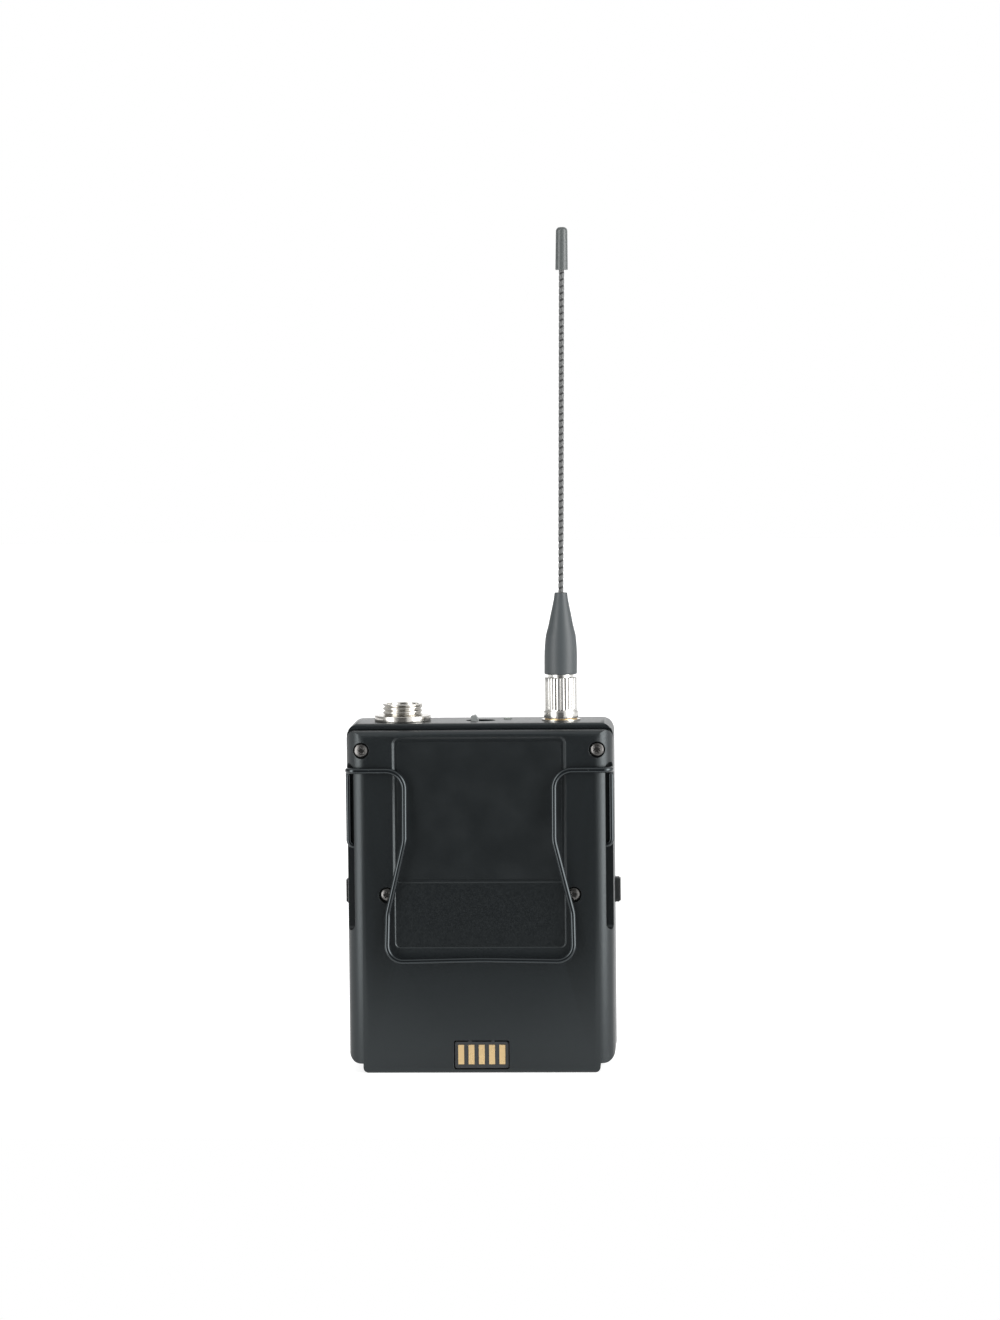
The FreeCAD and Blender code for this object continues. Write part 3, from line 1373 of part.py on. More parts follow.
def check():
    """Stop if any object failed or any sub-part is empty or broken."""
    failed = [thing.Name for thing in doc.Objects if {"Invalid", "Error"} & set(thing.State)]
    if failed:
        raise RuntimeError(f"failed objects: {failed}")
    for label, thing in SUBPARTS.items():
        if thing.Shape.isNull() or not thing.Shape.isValid() or not thing.Shape.Solids:
            raise RuntimeError(f"{label} has no valid solid")


build()
doc.recompute()
check()
os.makedirs("parts", exist_ok=True)
for label, thing in SUBPARTS.items():
    thing.Shape.exportStep(f"parts/{label}.step")
print(len(SUBPARTS), "sub-parts written")
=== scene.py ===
import json
import math

import bmesh
import bpy
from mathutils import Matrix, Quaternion, Vector


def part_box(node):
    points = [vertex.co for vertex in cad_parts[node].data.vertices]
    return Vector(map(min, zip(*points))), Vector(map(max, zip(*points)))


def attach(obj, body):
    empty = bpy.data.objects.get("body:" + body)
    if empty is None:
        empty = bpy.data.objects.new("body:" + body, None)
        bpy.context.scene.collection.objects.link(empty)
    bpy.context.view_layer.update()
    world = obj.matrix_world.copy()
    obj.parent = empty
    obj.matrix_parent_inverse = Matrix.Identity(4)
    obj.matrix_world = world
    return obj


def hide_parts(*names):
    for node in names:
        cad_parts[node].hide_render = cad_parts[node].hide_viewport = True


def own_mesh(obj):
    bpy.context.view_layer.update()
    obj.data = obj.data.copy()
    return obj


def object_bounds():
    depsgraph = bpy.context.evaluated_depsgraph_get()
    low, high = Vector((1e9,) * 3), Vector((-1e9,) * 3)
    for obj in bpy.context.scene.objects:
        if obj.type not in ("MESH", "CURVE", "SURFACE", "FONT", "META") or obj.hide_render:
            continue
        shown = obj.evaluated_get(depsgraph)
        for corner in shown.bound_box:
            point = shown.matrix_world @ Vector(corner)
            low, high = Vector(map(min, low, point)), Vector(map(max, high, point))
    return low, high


# Looks of a belt-worn wireless bodypack transmitter. Metres, in the row frame: +Z up the case,
# -Y towards the belt clip, +X towards the antenna.
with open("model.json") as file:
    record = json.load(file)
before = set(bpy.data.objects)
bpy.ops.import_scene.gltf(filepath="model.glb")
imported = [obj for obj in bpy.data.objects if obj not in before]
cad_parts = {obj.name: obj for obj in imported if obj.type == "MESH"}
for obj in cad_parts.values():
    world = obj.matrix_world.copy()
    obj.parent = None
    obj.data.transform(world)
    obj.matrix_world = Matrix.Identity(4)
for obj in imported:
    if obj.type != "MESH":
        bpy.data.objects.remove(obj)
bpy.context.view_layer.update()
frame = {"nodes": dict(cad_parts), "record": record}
NODES = frame["nodes"]
MM = 0.001
TURN = 2 * math.pi
scene = bpy.context.scene


# ---------------------------------------------------------------- places taken from the frame

def middle(node):
    low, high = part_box(node)
    return (low + high) / 2


ANTENNA_AXIS = middle("antenna_boot")
JACK_AXIS = middle("mic_jack_collar_nut")


# ---------------------------------------------------------------- node material helpers

class Shader:
    """A small builder for one node-based material."""

    def __init__(self, name):
        self.material = bpy.data.materials.new(name)
        self.material.use_nodes = True
        self.tree = self.material.node_tree
        self.nodes = self.tree.nodes
        self.surface = self.nodes["Principled BSDF"]
        self.place = self.add("ShaderNodeTexCoord").outputs["Object"]
        self.normal = None

    def add(self, kind, **settings):
        node = self.nodes.new(kind)
        for key, value in settings.items():
            setattr(node, key, value)
        return node

    def link(self, source, target):
        self.tree.links.new(source, target)

    def stretched(self, factors):
        """Object coordinates scaled by a factor on each axis."""
        mapping = self.add("ShaderNodeMapping")
        self.link(self.place, mapping.inputs["Vector"])
        mapping.inputs["Scale"].default_value = factors
        return mapping.outputs["Vector"]

    def noise(self, cell, detail=2.0, place=None):
        """Noise whose cells are about cell metres wide."""
        node = self.add("ShaderNodeTexNoise")
        self.link(place or self.place, node.inputs["Vector"])
        node.inputs["Scale"].default_value = 1 / cell
        node.inputs["Detail"].default_value = detail
        return node.outputs["Fac"]

    def spread(self, value, low, high, start=0.3, stop=0.7):
        """Map a value onto a range; most of a noise lies between 0.3 and 0.7."""
        node = self.add("ShaderNodeMapRange")
        self.link(value, node.inputs["Value"])
        node.inputs["From Min"].default_value = start
        node.inputs["From Max"].default_value = stop
        node.inputs["To Min"].default_value = low
        node.inputs["To Max"].default_value = high
        return node.outputs["Result"]

    def blend(self, factor, first, second):
        """A colour between two, by factor."""
        node = self.add("ShaderNodeMix", data_type="RGBA")
        self.link(factor, node.inputs["Factor"])
        for socket, colour in ((node.inputs["A"], first), (node.inputs["B"], second)):
            if isinstance(colour, tuple):
                socket.default_value = (*colour, 1)
            else:
                self.link(colour, socket)
        return node.outputs["Result"]

    def rounded_edges(self, radius):
        """Shade sharp edges as if they had a small radius."""
        node = self.add("ShaderNodeBevel", samples=6)
        node.inputs["Radius"].default_value = radius
        self.normal = node.outputs["Normal"]

    def bump(self, height, depth):
        """Relief that is depth metres high, on top of what the normal holds already."""
        node = self.add("ShaderNodeBump")
        self.link(height, node.inputs["Height"])
        node.inputs["Distance"].default_value = depth
        node.inputs["Strength"].default_value = 1.0
        if self.normal:
            self.link(self.normal, node.inputs["Normal"])
        self.normal = node.outputs["Normal"]

    def worn_edges(self, colour, worn, amount):
        """Mix a worn colour in along convex edges, whose pointiness is above that of a flat face."""
        almost_flat = 0.52
        sharp = 0.60
        pointiness = self.add("ShaderNodeNewGeometry").outputs["Pointiness"]
        edge = self.spread(pointiness, 0.0, amount, almost_flat, sharp)
        return self.blend(edge, colour, worn)

    def finish(self, colour, roughness, **values):
        """Fill the surface in; values names its other inputs, with _ for a space."""
        self.set("Base Color", colour)
        self.set("Roughness", roughness)
        for key, value in values.items():
            self.set(key.replace("_", " "), value)
        if self.normal:
            self.link(self.normal, self.surface.inputs["Normal"])
        return self.material

    def set(self, key, value):
        socket = self.surface.inputs[key]
        if isinstance(value, tuple):
            socket.default_value = (*value, 1)
        elif isinstance(value, (int, float)):
            socket.default_value = value
        else:
            self.link(value, socket)


# Reflections in the black paint and in the label film are a little blue.
COOL_SHEEN = (0.90, 0.98, 1.0)


def tinted(colour, factor):
    """The colour made darker or lighter by a factor."""
    return tuple(channel * factor for channel in colour)


def moulded(name, colour, roughness, grain=0.25 * MM, depth=0.01 * MM, edge=0.08 * MM, **values):
    """Plastic or rubber: faint mould grain, uneven gloss and a little shade variation."""
    patch_size = 9 * MM
    shade_swing = 0.12
    gloss_swing = 0.05
    make = Shader(name)
    make.rounded_edges(edge)
    make.bump(make.noise(grain, 3.0), depth)
    patch = make.noise(patch_size, 3.0)
    shade = make.blend(patch, tinted(colour, 1 - shade_swing), tinted(colour, 1 + shade_swing))
    gloss = make.spread(patch, roughness - gloss_swing, roughness + gloss_swing)
    return make.finish(shade, gloss, **values)


def powder_coat(name, colour, roughness):
    """Powder paint over a casting: fine orange peel, small grains and faint wear on the edges."""
    edge = 0.16 * MM
    orange_peel = 1.1 * MM
    fine_grain = 0.28 * MM
    relief = 0.012 * MM
    cloud_size = 22 * MM
    speckle = 0.5 * MM
    wear_shade = 2.6
    wear_amount = 0.35
    make = Shader(name)
    make.rounded_edges(edge)
    make.bump(make.noise(orange_peel), relief)
    make.bump(make.noise(fine_grain), relief)
    cloud = make.noise(cloud_size, 3.0)
    shade = make.blend(cloud, tinted(colour, 0.9), tinted(colour, 1.15))
    worn = make.worn_edges(shade, tinted(colour, wear_shade), wear_amount)
    gloss = make.spread(make.noise(speckle), roughness - 0.04, roughness + 0.05)
    return make.finish(worn, gloss, IOR=1.58, Specular_Tint=COOL_SHEEN)


def plated(name, colour, roughness, lines=None, edge=0.05 * MM, polished=False):
    """Bare or plated metal; lines=(x, y, z) stretches its fine tool marks along an axis, and
    polished metal has no tool marks."""
    mark_width = 0.12 * MM
    mark_depth = 0.002 * MM
    stain_size = 1.6 * MM
    make = Shader(name)
    if not polished:
        make.rounded_edges(edge)
        marks = make.noise(mark_width, 3.0, place=make.stretched(lines) if lines else None)
        make.bump(marks, mark_depth)
    stain = make.noise(stain_size, 3.0)
    shade = make.blend(stain, tinted(colour, 0.9), tinted(colour, 1.06))
    gloss = make.spread(stain, roughness * 0.75, roughness * 1.3)
    return make.finish(shade, gloss, Metallic=1.0)


# ---------------------------------------------------------------- mesh helpers

def piece(name, mesh_builder, body, slot, material, *replaced):
    """Turn a bmesh into a piece that rides on a body and stands for CAD nodes."""
    mesh = bpy.data.meshes.new(name)
    bmesh.ops.recalc_face_normals(mesh_builder, faces=mesh_builder.faces)
    mesh_builder.to_mesh(mesh)
    mesh_builder.free()
    thing = bpy.data.objects.new(name, mesh)
    scene.collection.objects.link(thing)
    mesh.materials.append(material)
    for face in mesh.polygons:
        face.use_smooth = True
    soften(thing)
    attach(thing, body)
    if replaced:
        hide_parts(*replaced)
    return thing


WELD_DISTANCE = 0.0005 * MM
SMOOTH_ANGLE = math.radians(32)


def smooth_group():
    """Geometry nodes that weld a mesh and shade it smooth except over sharp edges."""
    group = bpy.data.node_groups.new("weld_and_smooth", "GeometryNodeTree")
    group.interface.new_socket("Geometry", in_out="INPUT", socket_type="NodeSocketGeometry")
    group.interface.new_socket("Geometry", in_out="OUTPUT", socket_type="NodeSocketGeometry")
    nodes = group.nodes
    entry = nodes.new("NodeGroupInput")
    leave = nodes.new("NodeGroupOutput")
    weld = nodes.new("GeometryNodeMergeByDistance")
    weld.inputs["Distance"].default_value = WELD_DISTANCE
    angle = nodes.new("GeometryNodeInputMeshEdgeAngle")
    compare = nodes.new("FunctionNodeCompare")
    compare.data_type = "FLOAT"
    compare.operation = "LESS_THAN"
    compare.inputs["B"].default_value = SMOOTH_ANGLE
    faces = nodes.new("GeometryNodeSetShadeSmooth")
    edges = nodes.new("GeometryNodeSetShadeSmooth")
    edges.domain = "EDGE"
    link = group.links.new
    link(entry.outputs[0], weld.inputs["Geometry"])
    link(weld.outputs["Geometry"], faces.inputs["Geometry"])
    link(faces.outputs["Geometry"], edges.inputs["Geometry"])
    link(angle.outputs["Unsigned Angle"], compare.inputs["A"])
    link(compare.outputs["Result"], edges.inputs["Shade Smooth"])
    link(edges.outputs["Geometry"], leave.inputs[0])
    return group


SMOOTH = smooth_group()


def soften(thing):
    """Weld a piece and shade it smooth."""
    thing.modifiers.new("smooth", "NODES").node_group = SMOOTH


def spun(rings, axis, segments, radius_at=None, closed=True):
    """A mesh turned about an upright axis.

    rings are (radius, height) in metres; radius_at(radius, height, angle) may change the radius.
    A closed outline joins its last ring to its first; an open one is capped where its radius is 0.
    """
    made = bmesh.new()
    loops = []
    for radius, height in rings:
        loop = []
        for step in range(segments):
            angle = TURN * step / segments
            reach = radius_at(radius, height, angle) if radius_at else radius
            if radius == 0:
                if not loop:
                    loop.append(made.verts.new((axis.x, axis.y, height)))
                continue
            loop.append(made.verts.new((
                axis.x + reach * math.cos(angle), axis.y + reach * math.sin(angle), height)))
        loops.append(loop)
    pairs = list(zip(loops, loops[1:]))
    if closed:
        pairs.append((loops[-1], loops[0]))
    for low, high in pairs:
        for step in range(segments):
            after = (step + 1) % segments
            corners = [low[step % len(low)], low[after % len(low)],
                       high[after % len(high)], high[step % len(high)]]
            unique = list(dict.fromkeys(corners))
            if len(unique) > 2:
                made.faces.new(unique)
    return made


def arc_points(centre, radius, start, stop, steps):
    """Points (radius, height) on an arc, angles in degrees."""
    points = []
    for step in range(steps + 1):
        angle = math.radians(start + (stop - start) * step / steps)
        points.append((centre[0] + radius * math.cos(angle), centre[1] + radius * math.sin(angle)))
    return points


def upright(radius, start, stop, steps):
    """Points (radius, height) up a straight side."""
    return [(radius, start + (stop - start) * step / steps) for step in range(steps + 1)]


def smooth_step(value):
    """0 below 0, 1 above 1 and an S curve between."""
    value = min(max(value, 0.0), 1.0)
    return value * value * (3 - 2 * value)


# ---------------------------------------------------------------- materials

CASE_PAINT = powder_coat("case_powder_coat", (0.0040, 0.0052, 0.0060), 0.32)
DOOR_PAINT = powder_coat("door_powder_coat", (0.0052, 0.0064, 0.0070), 0.34)
CLIP_WIRE = moulded("clip_wire_coating", (0.004, 0.005, 0.006), 0.07, grain=1.4 * MM, depth=0.001 * MM,
                    IOR=1.66, Specular_Tint=(0.86, 0.96, 1.0))
SCREW_STEEL = plated("blackened_screw_steel", (0.155, 0.150, 0.145), 0.22, edge=0.28 * MM)
NICKEL = plated("bright_nickel", (0.66, 0.64, 0.60), 0.16, polished=True)
NUT_NICKEL = plated("coupling_nickel", (0.78, 0.77, 0.74), 0.18, polished=True)
GOLD = plated("gold_plate", (0.93, 0.68, 0.36), 0.30, lines=(1, 1, 0.12))
TIN = plated("tin_plate", (0.60, 0.60, 0.58), 0.35)
LEVER_PLASTIC = moulded("lever_plastic", (0.28, 0.295, 0.29), 0.42)
BUTTON_PLASTIC = moulded("button_plastic", (0.018, 0.020, 0.021), 0.40)
BLACK_PLASTIC = moulded("black_plastic", (0.028, 0.031, 0.034), 0.50)
INSULATOR = moulded("insulator_plastic", (0.012, 0.012, 0.012), 0.50)
BOOT_RUBBER = moulded("boot_rubber", (0.057, 0.066, 0.070), 0.44, grain=0.5 * MM, depth=0.012 * MM)
CAP_GLOSS = moulded("cap_gloss", (0.085, 0.094, 0.093), 0.22, grain=1.0 * MM, depth=0.002 * MM)
LABEL_FILM = moulded("label_film", (0.0044, 0.0056, 0.0064), 0.36, grain=0.9 * MM, depth=0.002 * MM,
                     IOR=1.54, Specular_Tint=COOL_SHEEN)
FOAM = moulded("closed_cell_foam", (0.03, 0.03, 0.03), 0.9, grain=0.5 * MM, depth=0.15 * MM)
BATTERY = moulded("battery_sleeve", (0.09, 0.11, 0.14), 0.30, grain=2 * MM)
BOARD_GREEN = moulded("board_solder_mask", (0.01, 0.09, 0.035), 0.35, grain=1.2 * MM)
BOARD_RED = moulded("contact_board_red", (0.20, 0.035, 0.012), 0.45, grain=0.4 * MM)
PTFE = moulded("white_dielectric", (0.82, 0.82, 0.79), 0.5)
WIRE_SKIN = moulded("wire_insulation", (0.35, 0.03, 0.02), 0.45)
COAX_SKIN = moulded("coax_jacket", (0.16, 0.08, 0.03), 0.35)
GLASS = moulded("window_glass", (0.030, 0.034, 0.036), 0.06, grain=3 * MM, depth=0.0, Coat_Weight=0.6)
INFRARED = moulded("infrared_plastic", (0.05, 0.004, 0.006), 0.12, grain=2 * MM, depth=0.0)
LAMP = moulded("lamp_plastic", (0.55, 0.60, 0.55), 0.35, Transmission_Weight=0.4)
DISPLAY = moulded("display_panel", (0.06, 0.08, 0.06), 0.3)

FINISHES = {
    "case_paint": CASE_PAINT, "door_paint": DOOR_PAINT, "screw_steel": SCREW_STEEL,
    "bright_nickel": NICKEL, "nut_nickel": NUT_NICKEL, "gold": GOLD, "clip_wire": CLIP_WIRE,
    "black_plastic": BLACK_PLASTIC, "insulator_plastic": INSULATOR,
    "button_plastic": BUTTON_PLASTIC, "lever_plastic": LEVER_PLASTIC,
    "boot_rubber": BOOT_RUBBER, "whip_jacket": BOOT_RUBBER, "cap_gloss": CAP_GLOSS,
    "label_film": LABEL_FILM, "foam": FOAM, "battery_sleeve": BATTERY,
    "board_green": BOARD_GREEN, "board_red": BOARD_RED, "tin_plate": TIN, "ptfe": PTFE,
    "wire_insulation": WIRE_SKIN, "coax_jacket": COAX_SKIN, "window_glass": GLASS,
    "infrared_plastic": INFRARED, "lamp_plastic": LAMP, "display_panel": DISPLAY,
}


def dress_cad_nodes():
    """Give every CAD node the finish of its material slot and smooth shading."""
    slots = {part["node"]: part["material_slot"] for part in frame["record"]["subparts"]}
    for name, node in NODES.items():
        node.data.materials.clear()
        node.data.materials.append(FINISHES[slots[name]])
        soften(node)


# ---------------------------------------------------------------- antenna

# Metres to +X per metre of height.
WHIP_LEAN = 0.0107
WHIP_RADIUS = (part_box("antenna_whip")[1].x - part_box("antenna_whip")[0].x) / 2


def leaning(made):
    """The flexible part of the antenna leans a little towards +X, as a whip that was once bent does."""
    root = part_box("antenna_boot")[0].z
    for vertex in made.verts:
        vertex.co.x += (vertex.co.z - root) * WHIP_LEAN
    return made


def curve_through(points, steps):
    """A smooth open curve (Catmull-Rom) through (radius, height) points."""
    padded = [points[0], *points, points[-1]]
    curve = []
    for before, start, end, after in zip(padded, padded[1:], padded[2:], padded[3:]):
        for step in range(steps):
            t = step / steps
            curve.append(tuple(
                0.5 * (2 * b + (c - a) * t + (2 * a - 5 * b + 4 * c - d) * t ** 2
                       + (3 * b - a - 3 * c + d) * t ** 3)
                for a, b, c, d in zip(before, start, end, after)))
    return curve + [points[-1]]


def whip_jacket():
    """Ribbed jacket with painted shade in the helical groove, which the mesh marks with an attribute;
    the ridge colour is the jacket's own.
    """
    ridge_colour = (0.115, 0.118, 0.116)
    # Painted shade: the groove is coloured far darker than the ridge, standing in for the shade that
    # falls inside it.
    painted_groove_shade = (0.012, 0.013, 0.013)
    make = Shader("whip_jacket")
    mark = make.add("ShaderNodeAttribute", attribute_name="groove").outputs["Fac"]
    make.bump(make.noise(0.25 * MM), 0.008 * MM)
    shade = make.blend(mark, ridge_colour, painted_groove_shade)
    return make.finish(shade, make.spread(mark, 0.36, 0.7, 0.0, 1.0))


def make_whip():
    """The whip's jacket: the winding shows through it as a helical ridge."""
    low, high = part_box("antenna_whip")
    pitch = 1.65 * MM
    groove_depth = 0.13
    groove_start = 0.25
    groove_run = 0.6
    rings_a_turn = 12
    segments = 22
    count = int((high.z - low.z) / pitch * rings_a_turn)
    rings = [(0, low.z), *upright(WHIP_RADIUS, low.z, high.z, count), (0, high.z)]

    def groove(height, angle):
        phase = math.cos(TURN * height / pitch - angle)
        return smooth_step((-phase - groove_start) / groove_run)

    made = spun(rings, ANTENNA_AXIS, segments,
                lambda reach, height, angle: reach * (1 - groove_depth * groove(height, angle)),
                closed=False)
    layer = made.verts.layers.float.new("groove")
    for vertex in made.verts:
        angle = math.atan2(vertex.co.y - ANTENNA_AXIS.y, vertex.co.x - ANTENNA_AXIS.x)
        vertex[layer] = groove(vertex.co.z, angle)
    return piece("whip_helical_jacket", leaning(made), "antenna", "whip_jacket", whip_jacket(),
                 "antenna_whip")


def make_boot():
    """A soft sleeve: nearly straight, then a rounded shoulder into a long slim neck."""
    low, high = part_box("antenna_boot")
    foot = (high.x - low.x) / 2
    tall = high.z - low.z
    # Shares of the foot's radius and of the height.
    shape = [(1.0, 0.03), (1.0, 0.24), (0.973, 0.354), (0.912, 0.476), (0.76, 0.60), (0.64, 0.72),
             (0.456, 0.90), (0.40, 0.985)]
    side = curve_through([(foot * across, low.z + tall * up) for across, up in shape], 8)
    edge = 0.35 * MM
    top_edge = 0.1 * MM
    rings = [(WHIP_RADIUS, low.z), (foot - edge, low.z)]
    rings += arc_points((foot - edge, low.z + edge), edge, -75, -15, 4)
    rings += side
    rings += [(side[-1][0] - top_edge, high.z), (WHIP_RADIUS, high.z)]
    made = spun(rings, ANTENNA_AXIS, 56)
    return piece("antenna_boot_sleeve", leaning(made), "antenna", "boot_rubber", BOOT_RUBBER,
                 "antenna_boot")


def make_tip_cap():
    """A slim glossy cap with a soft foot edge and a full round end."""
    low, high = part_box("antenna_tip_cap")
    foot = (high.x - low.x) / 2
    head = foot * 0.93
    edge = 0.16 * MM
    crown = 0.75 * head
    fullness = 0.7
    crown_steps = 8
    rings = [(WHIP_RADIUS, low.z + edge), (WHIP_RADIUS, low.z)]
    rings += arc_points((foot - edge, low.z + edge), edge, -90, 0, 5)
    for step in range(crown_steps):
        angle = TURN / 4 * step / crown_steps
        rings.append((head * math.cos(angle) ** fullness, high.z - crown + crown * math.sin(angle)))
    rings.append((0, high.z))
    made = spun(rings, ANTENNA_AXIS, 36, closed=False)
    return piece("antenna_tip_cap_shell", leaning(made), "antenna", "cap_gloss", CAP_GLOSS,
                 "antenna_tip_cap")


def make_coupling_nut():
    """A plain collar, then a long body with 24 crowned lands parted by narrow grooves."""
    low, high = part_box("antenna_coupling_nut")
    collar = (high.x - low.x) / 2
    body = collar - 0.3 * MM
    bore = 3.23 * MM
    neck = 2.6 * MM
    neck_low = high.z - 1.2 * MM
    collar_top = low.z + 1.75 * MM
    corner = 0.05 * MM
    edge = 0.14 * MM
    top_edge = edge * 2
    land_count = 24
    segments_a_land = 24
    land_crown = 0.12 * MM
    groove_depth = 0.22 * MM
    # Shares of half a land, from its middle: where the groove starts, and its wall.
    groove_start = 0.86
    groove_wall = 0.10
    flute_low = collar_top + 0.2 * MM
    flute_full = flute_low + 0.3 * MM
    flute_top = high.z - top_edge
    rings = [(bore, low.z)]
    rings += arc_points((collar - edge, low.z + edge), edge, -90, 0, 4)
    rings += arc_points((collar - edge, collar_top - edge), edge, 0, 90, 4)
    rings += [(body + 0.02 * MM, collar_top), (body, collar_top + corner)]
    rings += upright(body, flute_low, flute_full, 5)
    rings += upright(body, flute_full, flute_top, 6)[1:]
    rings += arc_points((body - top_edge, flute_top), top_edge, 15, 90, 5)
    rings += [(neck, high.z), (neck, neck_low), (bore, neck_low)]

    def flutes(reach, height, angle):
        if reach < body - top_edge or height < flute_low:
            return reach
        phase = abs((angle / TURN * land_count) % 1 - 0.5) * 2
        start = smooth_step((height - flute_low) / (flute_full - flute_low))
        groove = groove_depth * smooth_step((phase - groove_start) / groove_wall)
        return reach - start * (groove + land_crown * phase ** 2)

    made = spun(rings, ANTENNA_AXIS, land_count * segments_a_land, flutes)
    return piece("coupling_nut_fluted", made, "antenna_nut", "nut_nickel", NUT_NICKEL,
                 "antenna_coupling_nut")


# ---------------------------------------------------------------- microphone jack

JACK_CREST = (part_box("mic_jack_shell")[1].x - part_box("mic_jack_shell")[0].x) / 2
JACK_SEGMENTS = 96


def make_jack_shell():
    """A tube whose upper part carries a right-handed thread with rounded crests, and a turned lip."""
    low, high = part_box("mic_jack_shell")
    crest = JACK_CREST
    under = crest - 0.25 * MM
    bore = crest - 0.95 * MM
    pitch = 1.0 * MM
    depth = 0.45 * MM
    valley_half = 0.42
    run_in = 0.2 * MM
    run_out = 0.25 * MM
    rings_a_turn = 20
    thread_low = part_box("mic_jack_collar_nut")[1].z + 0.1 * MM
    lip = 0.15 * MM
    count = int((high.z - thread_low) / pitch * rings_a_turn)
    rings = [(bore, low.z), (under, low.z), (under, thread_low - 0.05 * MM)]
    rings += upright(crest, thread_low, high.z - lip, count)
    rings += arc_points((crest - lip, high.z - lip), lip, 0, 90, 4)
    rings += arc_points((bore + lip, high.z - lip), lip, 90, 180, 4)

    def thread(reach, height, angle):
        if reach < crest - lip / 2 or height < thread_low:
            return reach
        phase = (height / pitch - angle / TURN) % 1
        valley = smooth_step(1 - abs(phase - 0.5) / valley_half)
        lead_in = smooth_step((height - thread_low) / run_in)
        lead_out = smooth_step((high.z - lip * 1.5 - height) / run_out)
        return reach - depth * max(valley * lead_out, 1 - lead_in)

    made = spun(rings, JACK_AXIS, JACK_SEGMENTS, thread)
    return piece("mic_jack_threaded_shell", made, "case", "bright_nickel", NICKEL, "mic_jack_shell")


def make_jack_ring():
    """The ring nut on the deck: a plain turned ring with small edges."""
    low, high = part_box("mic_jack_collar_nut")
    rim = (high.x - low.x) / 2
    chamfer = 0.2 * MM
    bore = JACK_CREST - chamfer
    edge = 0.16 * MM
    rings = [(bore, low.z)]
    rings += arc_points((rim - edge, low.z + edge), edge, -90, 0, 4)
    rings += arc_points((rim - edge, high.z - edge), edge, 0, 90, 4)
    rings += [(bore + chamfer, high.z), (bore, high.z - chamfer)]
    made = spun(rings, JACK_AXIS, JACK_SEGMENTS)
    return piece("mic_jack_ring_nut", made, "case", "bright_nickel", NICKEL, "mic_jack_collar_nut")


# ---------------------------------------------------------------- latch springs

def make_latch_spring(side):
    """A compression spring between the housing's rib and a latch button."""
    node = f"latch_spring_{side}"
    low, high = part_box(node)
    centre = middle(node)
    wire = 0.175 * MM
    coil = (high.z - low.z) / 2 - wire
    length = high.x - low.x - 2 * wire
    turns = 5.4
    steps_a_turn = 32
    around = 10
    count = int(turns * steps_a_turn)
    made = bmesh.new()
    loops = []
    for step in range(count + 1):
        angle = TURN * turns * step / count
        loop = []
        for corner in range(around):
            tilt = TURN * corner / around
            reach = coil + wire * math.cos(tilt)
            loop.append(made.verts.new((
                low.x + wire + length * step / count + wire * math.sin(tilt),
                centre.y + reach * math.cos(angle), centre.z + reach * math.sin(angle))))
        loops.append(loop)
    for start, end in zip(loops, loops[1:]):
        for corner in range(around):
            after = (corner + 1) % around
            made.faces.new((start[corner], start[after], end[after], end[corner]))
    made.faces.new(loops[0])
    made.faces.new(loops[-1])
    thing = piece(f"{node}_coil", made, "case", "tin_plate", TIN, node)
    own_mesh(thing)


dress_cad_nodes()
make_latch_spring("left")
make_latch_spring("right")
make_whip()
make_boot()
make_tip_cap()
make_coupling_nut()
make_jack_shell()
make_jack_ring()


# ---------------------------------------------------------------- studio

# Radiance of the studio's wall by its angle from the clip side, in degrees, positive towards +X:
# dark in front, a bright panel on each side, the broader one towards +X, and grey behind.
WALL = [(-179.9, 1.5), (-166, 1.3), (-152, 0.45), (-90, 0.42), (-78, 0.6), (-68, 1.2), (-60, 5.0),
        (-40, 5.0), (-32, 1.0), (-16, 0.15), (16, 0.15), (26, 1.1), (44, 1.7), (52, 6.8), (80, 6.8),
        (88, 1.8), (104, 1.4), (116, 0.9), (152, 0.6), (166, 1.3), (179.9, 1.5)]
WALL_BRIGHTEST = max(level for degrees, level in WALL)
CEILING = 0.95
# How far up a direction points, from 0 to 1, where the wall ends and where the ceiling is full.
WALL_TOP = 0.5
CEILING_FULL = 0.8


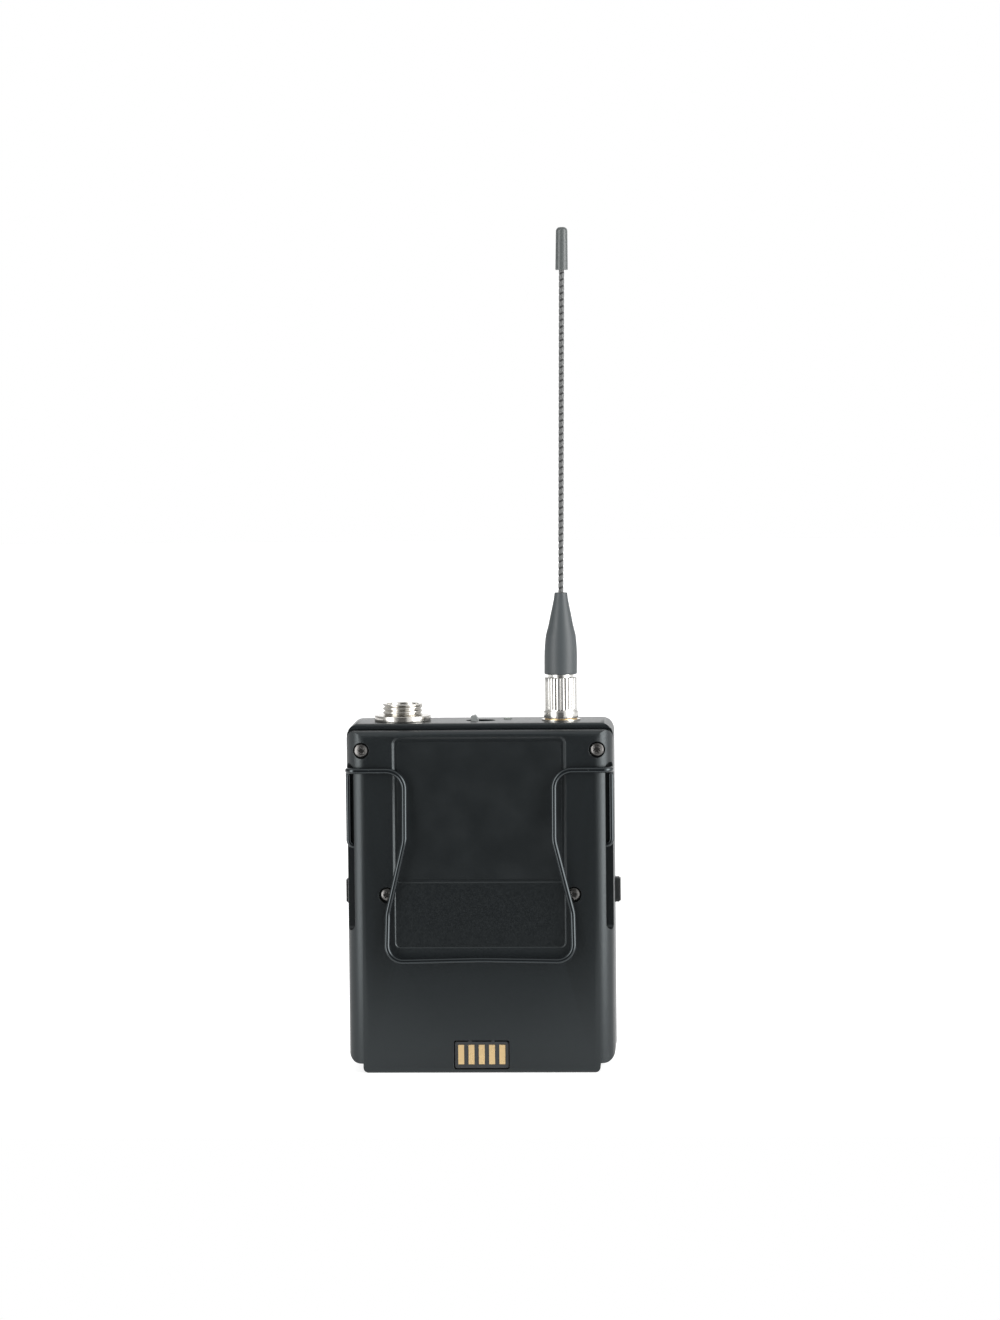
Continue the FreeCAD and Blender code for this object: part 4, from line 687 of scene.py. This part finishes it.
def make_world():
    """White to the camera; the object sees the wall and, above it, a bright ceiling."""
    world = bpy.data.worlds.new("studio")
    scene.world = world
    world.use_nodes = True
    nodes = world.node_tree.nodes
    link = world.node_tree.links.new
    nodes.clear()

    def maths(operation, first, second=None):
        node = nodes.new("ShaderNodeMath")
        node.operation = operation
        for socket, value in zip(node.inputs, (first, second)):
            if isinstance(value, (int, float)):
                socket.default_value = value
            elif value is not None:
                link(value, socket)
        return node.outputs[0]

    direction = nodes.new("ShaderNodeTexCoord")
    split = nodes.new("ShaderNodeSeparateXYZ")
    link(direction.outputs["Generated"], split.inputs[0])
    across, along, up = split.outputs
    azimuth = maths("ARCTAN2", across, maths("MULTIPLY", along, -1.0))
    turn = maths("ADD", maths("DIVIDE", azimuth, TURN), 0.5)
    ramp = nodes.new("ShaderNodeValToRGB")
    ramp.color_ramp.interpolation = "EASE"
    stops = ramp.color_ramp.elements
    for degrees, level in WALL:
        stop = stops.new(degrees / 360 + 0.5)
        shade = level / WALL_BRIGHTEST
        stop.color = (shade, shade, shade, 1)
    stops.remove(stops[0])
    stops.remove(stops[-1])
    link(turn, ramp.inputs[0])
    walls = maths("MULTIPLY", ramp.outputs[0], WALL_BRIGHTEST)
    ceiling = nodes.new("ShaderNodeMapRange")
    ceiling.interpolation_type = "SMOOTHSTEP"
    ceiling.inputs["From Min"].default_value = WALL_TOP
    ceiling.inputs["From Max"].default_value = CEILING_FULL
    link(up, ceiling.inputs["Value"])
    blend = nodes.new("ShaderNodeMix")
    link(ceiling.outputs[0], blend.inputs["Factor"])
    link(walls, blend.inputs["A"])
    blend.inputs["B"].default_value = CEILING

    room = nodes.new("ShaderNodeBackground")
    link(blend.outputs["Result"], room.inputs["Strength"])
    seen = nodes.new("ShaderNodeBackground")
    seen.inputs["Color"].default_value = (1, 1, 1, 1)
    rays = nodes.new("ShaderNodeLightPath")
    mix = nodes.new("ShaderNodeMixShader")
    output = nodes.new("ShaderNodeOutputWorld")
    link(rays.outputs["Is Camera Ray"], mix.inputs["Fac"])
    link(room.outputs[0], mix.inputs[1])
    link(seen.outputs[0], mix.inputs[2])
    link(mix.outputs[0], output.inputs[0])


FLOOR_HALF_WIDTH = 2.0
FLOOR_BACK = 3.0
# How far the floor starts in front of the object, and how far below the case it lies.
FLOOR_MARGIN = 85 * MM
FLOOR_DROP = 0.02 * MM
# The floor's own light, for the object and for the camera.
FLOOR_GLOW = 0.39
FLOOR_SEEN_GLOW = 0.75


def make_floor():
    """A pale floor that starts a little in front of the object; from below it is clear."""
    made = bmesh.new()
    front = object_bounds()[0].y - FLOOR_MARGIN
    corners = [(-FLOOR_HALF_WIDTH, front), (FLOOR_HALF_WIDTH, front),
               (FLOOR_HALF_WIDTH, FLOOR_BACK), (-FLOOR_HALF_WIDTH, FLOOR_BACK)]
    made.faces.new([made.verts.new((x, y, -FLOOR_DROP)) for x, y in corners])
    mesh = bpy.data.meshes.new("floor")
    made.to_mesh(mesh)
    made.free()
    floor = bpy.data.objects.new("floor", mesh)
    scene.collection.objects.link(floor)
    make = Shader("pale_floor")
    cloud = make.noise(300 * MM)
    shade = make.blend(cloud, (0.60, 0.60, 0.60), (0.62, 0.62, 0.62))
    rays = make.add("ShaderNodeLightPath").outputs["Is Camera Ray"]
    glow = make.spread(rays, FLOOR_GLOW, FLOOR_SEEN_GLOW, 0.0, 1.0)
    mesh.materials.append(make.finish(shade, 0.9, Specular_IOR_Level=0.0,
                                      Emission_Color=(1.0, 1.0, 1.0), Emission_Strength=glow))
    below = make.add("ShaderNodeNewGeometry").outputs["Backfacing"]
    clear = make.add("ShaderNodeBsdfTransparent").outputs[0]
    sides = make.add("ShaderNodeMixShader")
    make.link(below, sides.inputs["Fac"])
    make.link(make.surface.outputs[0], sides.inputs[1])
    make.link(clear, sides.inputs[2])
    make.link(sides.outputs[0], make.nodes["Material Output"].inputs["Surface"])


def make_camera():
    """A long lens, a little above and to the antenna side of the clip face."""
    target = Vector((5.45 * MM, -11.5 * MM, 102.2 * MM))
    azimuth = math.radians(2.7)
    elevation = math.radians(4.0)
    roll = math.radians(-0.55)
    distance = 1.10
    away = Vector((math.sin(azimuth) * math.cos(elevation), -math.cos(azimuth) * math.cos(elevation),
                   math.sin(elevation)))
    data = bpy.data.cameras.new("camera")
    # Both in millimetres.
    data.lens = 122.4
    data.sensor_width = 36.0
    camera = bpy.data.objects.new("camera", data)
    scene.collection.objects.link(camera)
    camera.location = target + away * distance
    camera.rotation_mode = "QUATERNION"
    view_line = Vector((0, 0, 1))
    camera.rotation_quaternion = (-away).to_track_quat("-Z", "Y") @ Quaternion(view_line, roll)
    scene.camera = camera


make_world()
make_floor()
make_camera()
scene.view_settings.view_transform = "Standard"
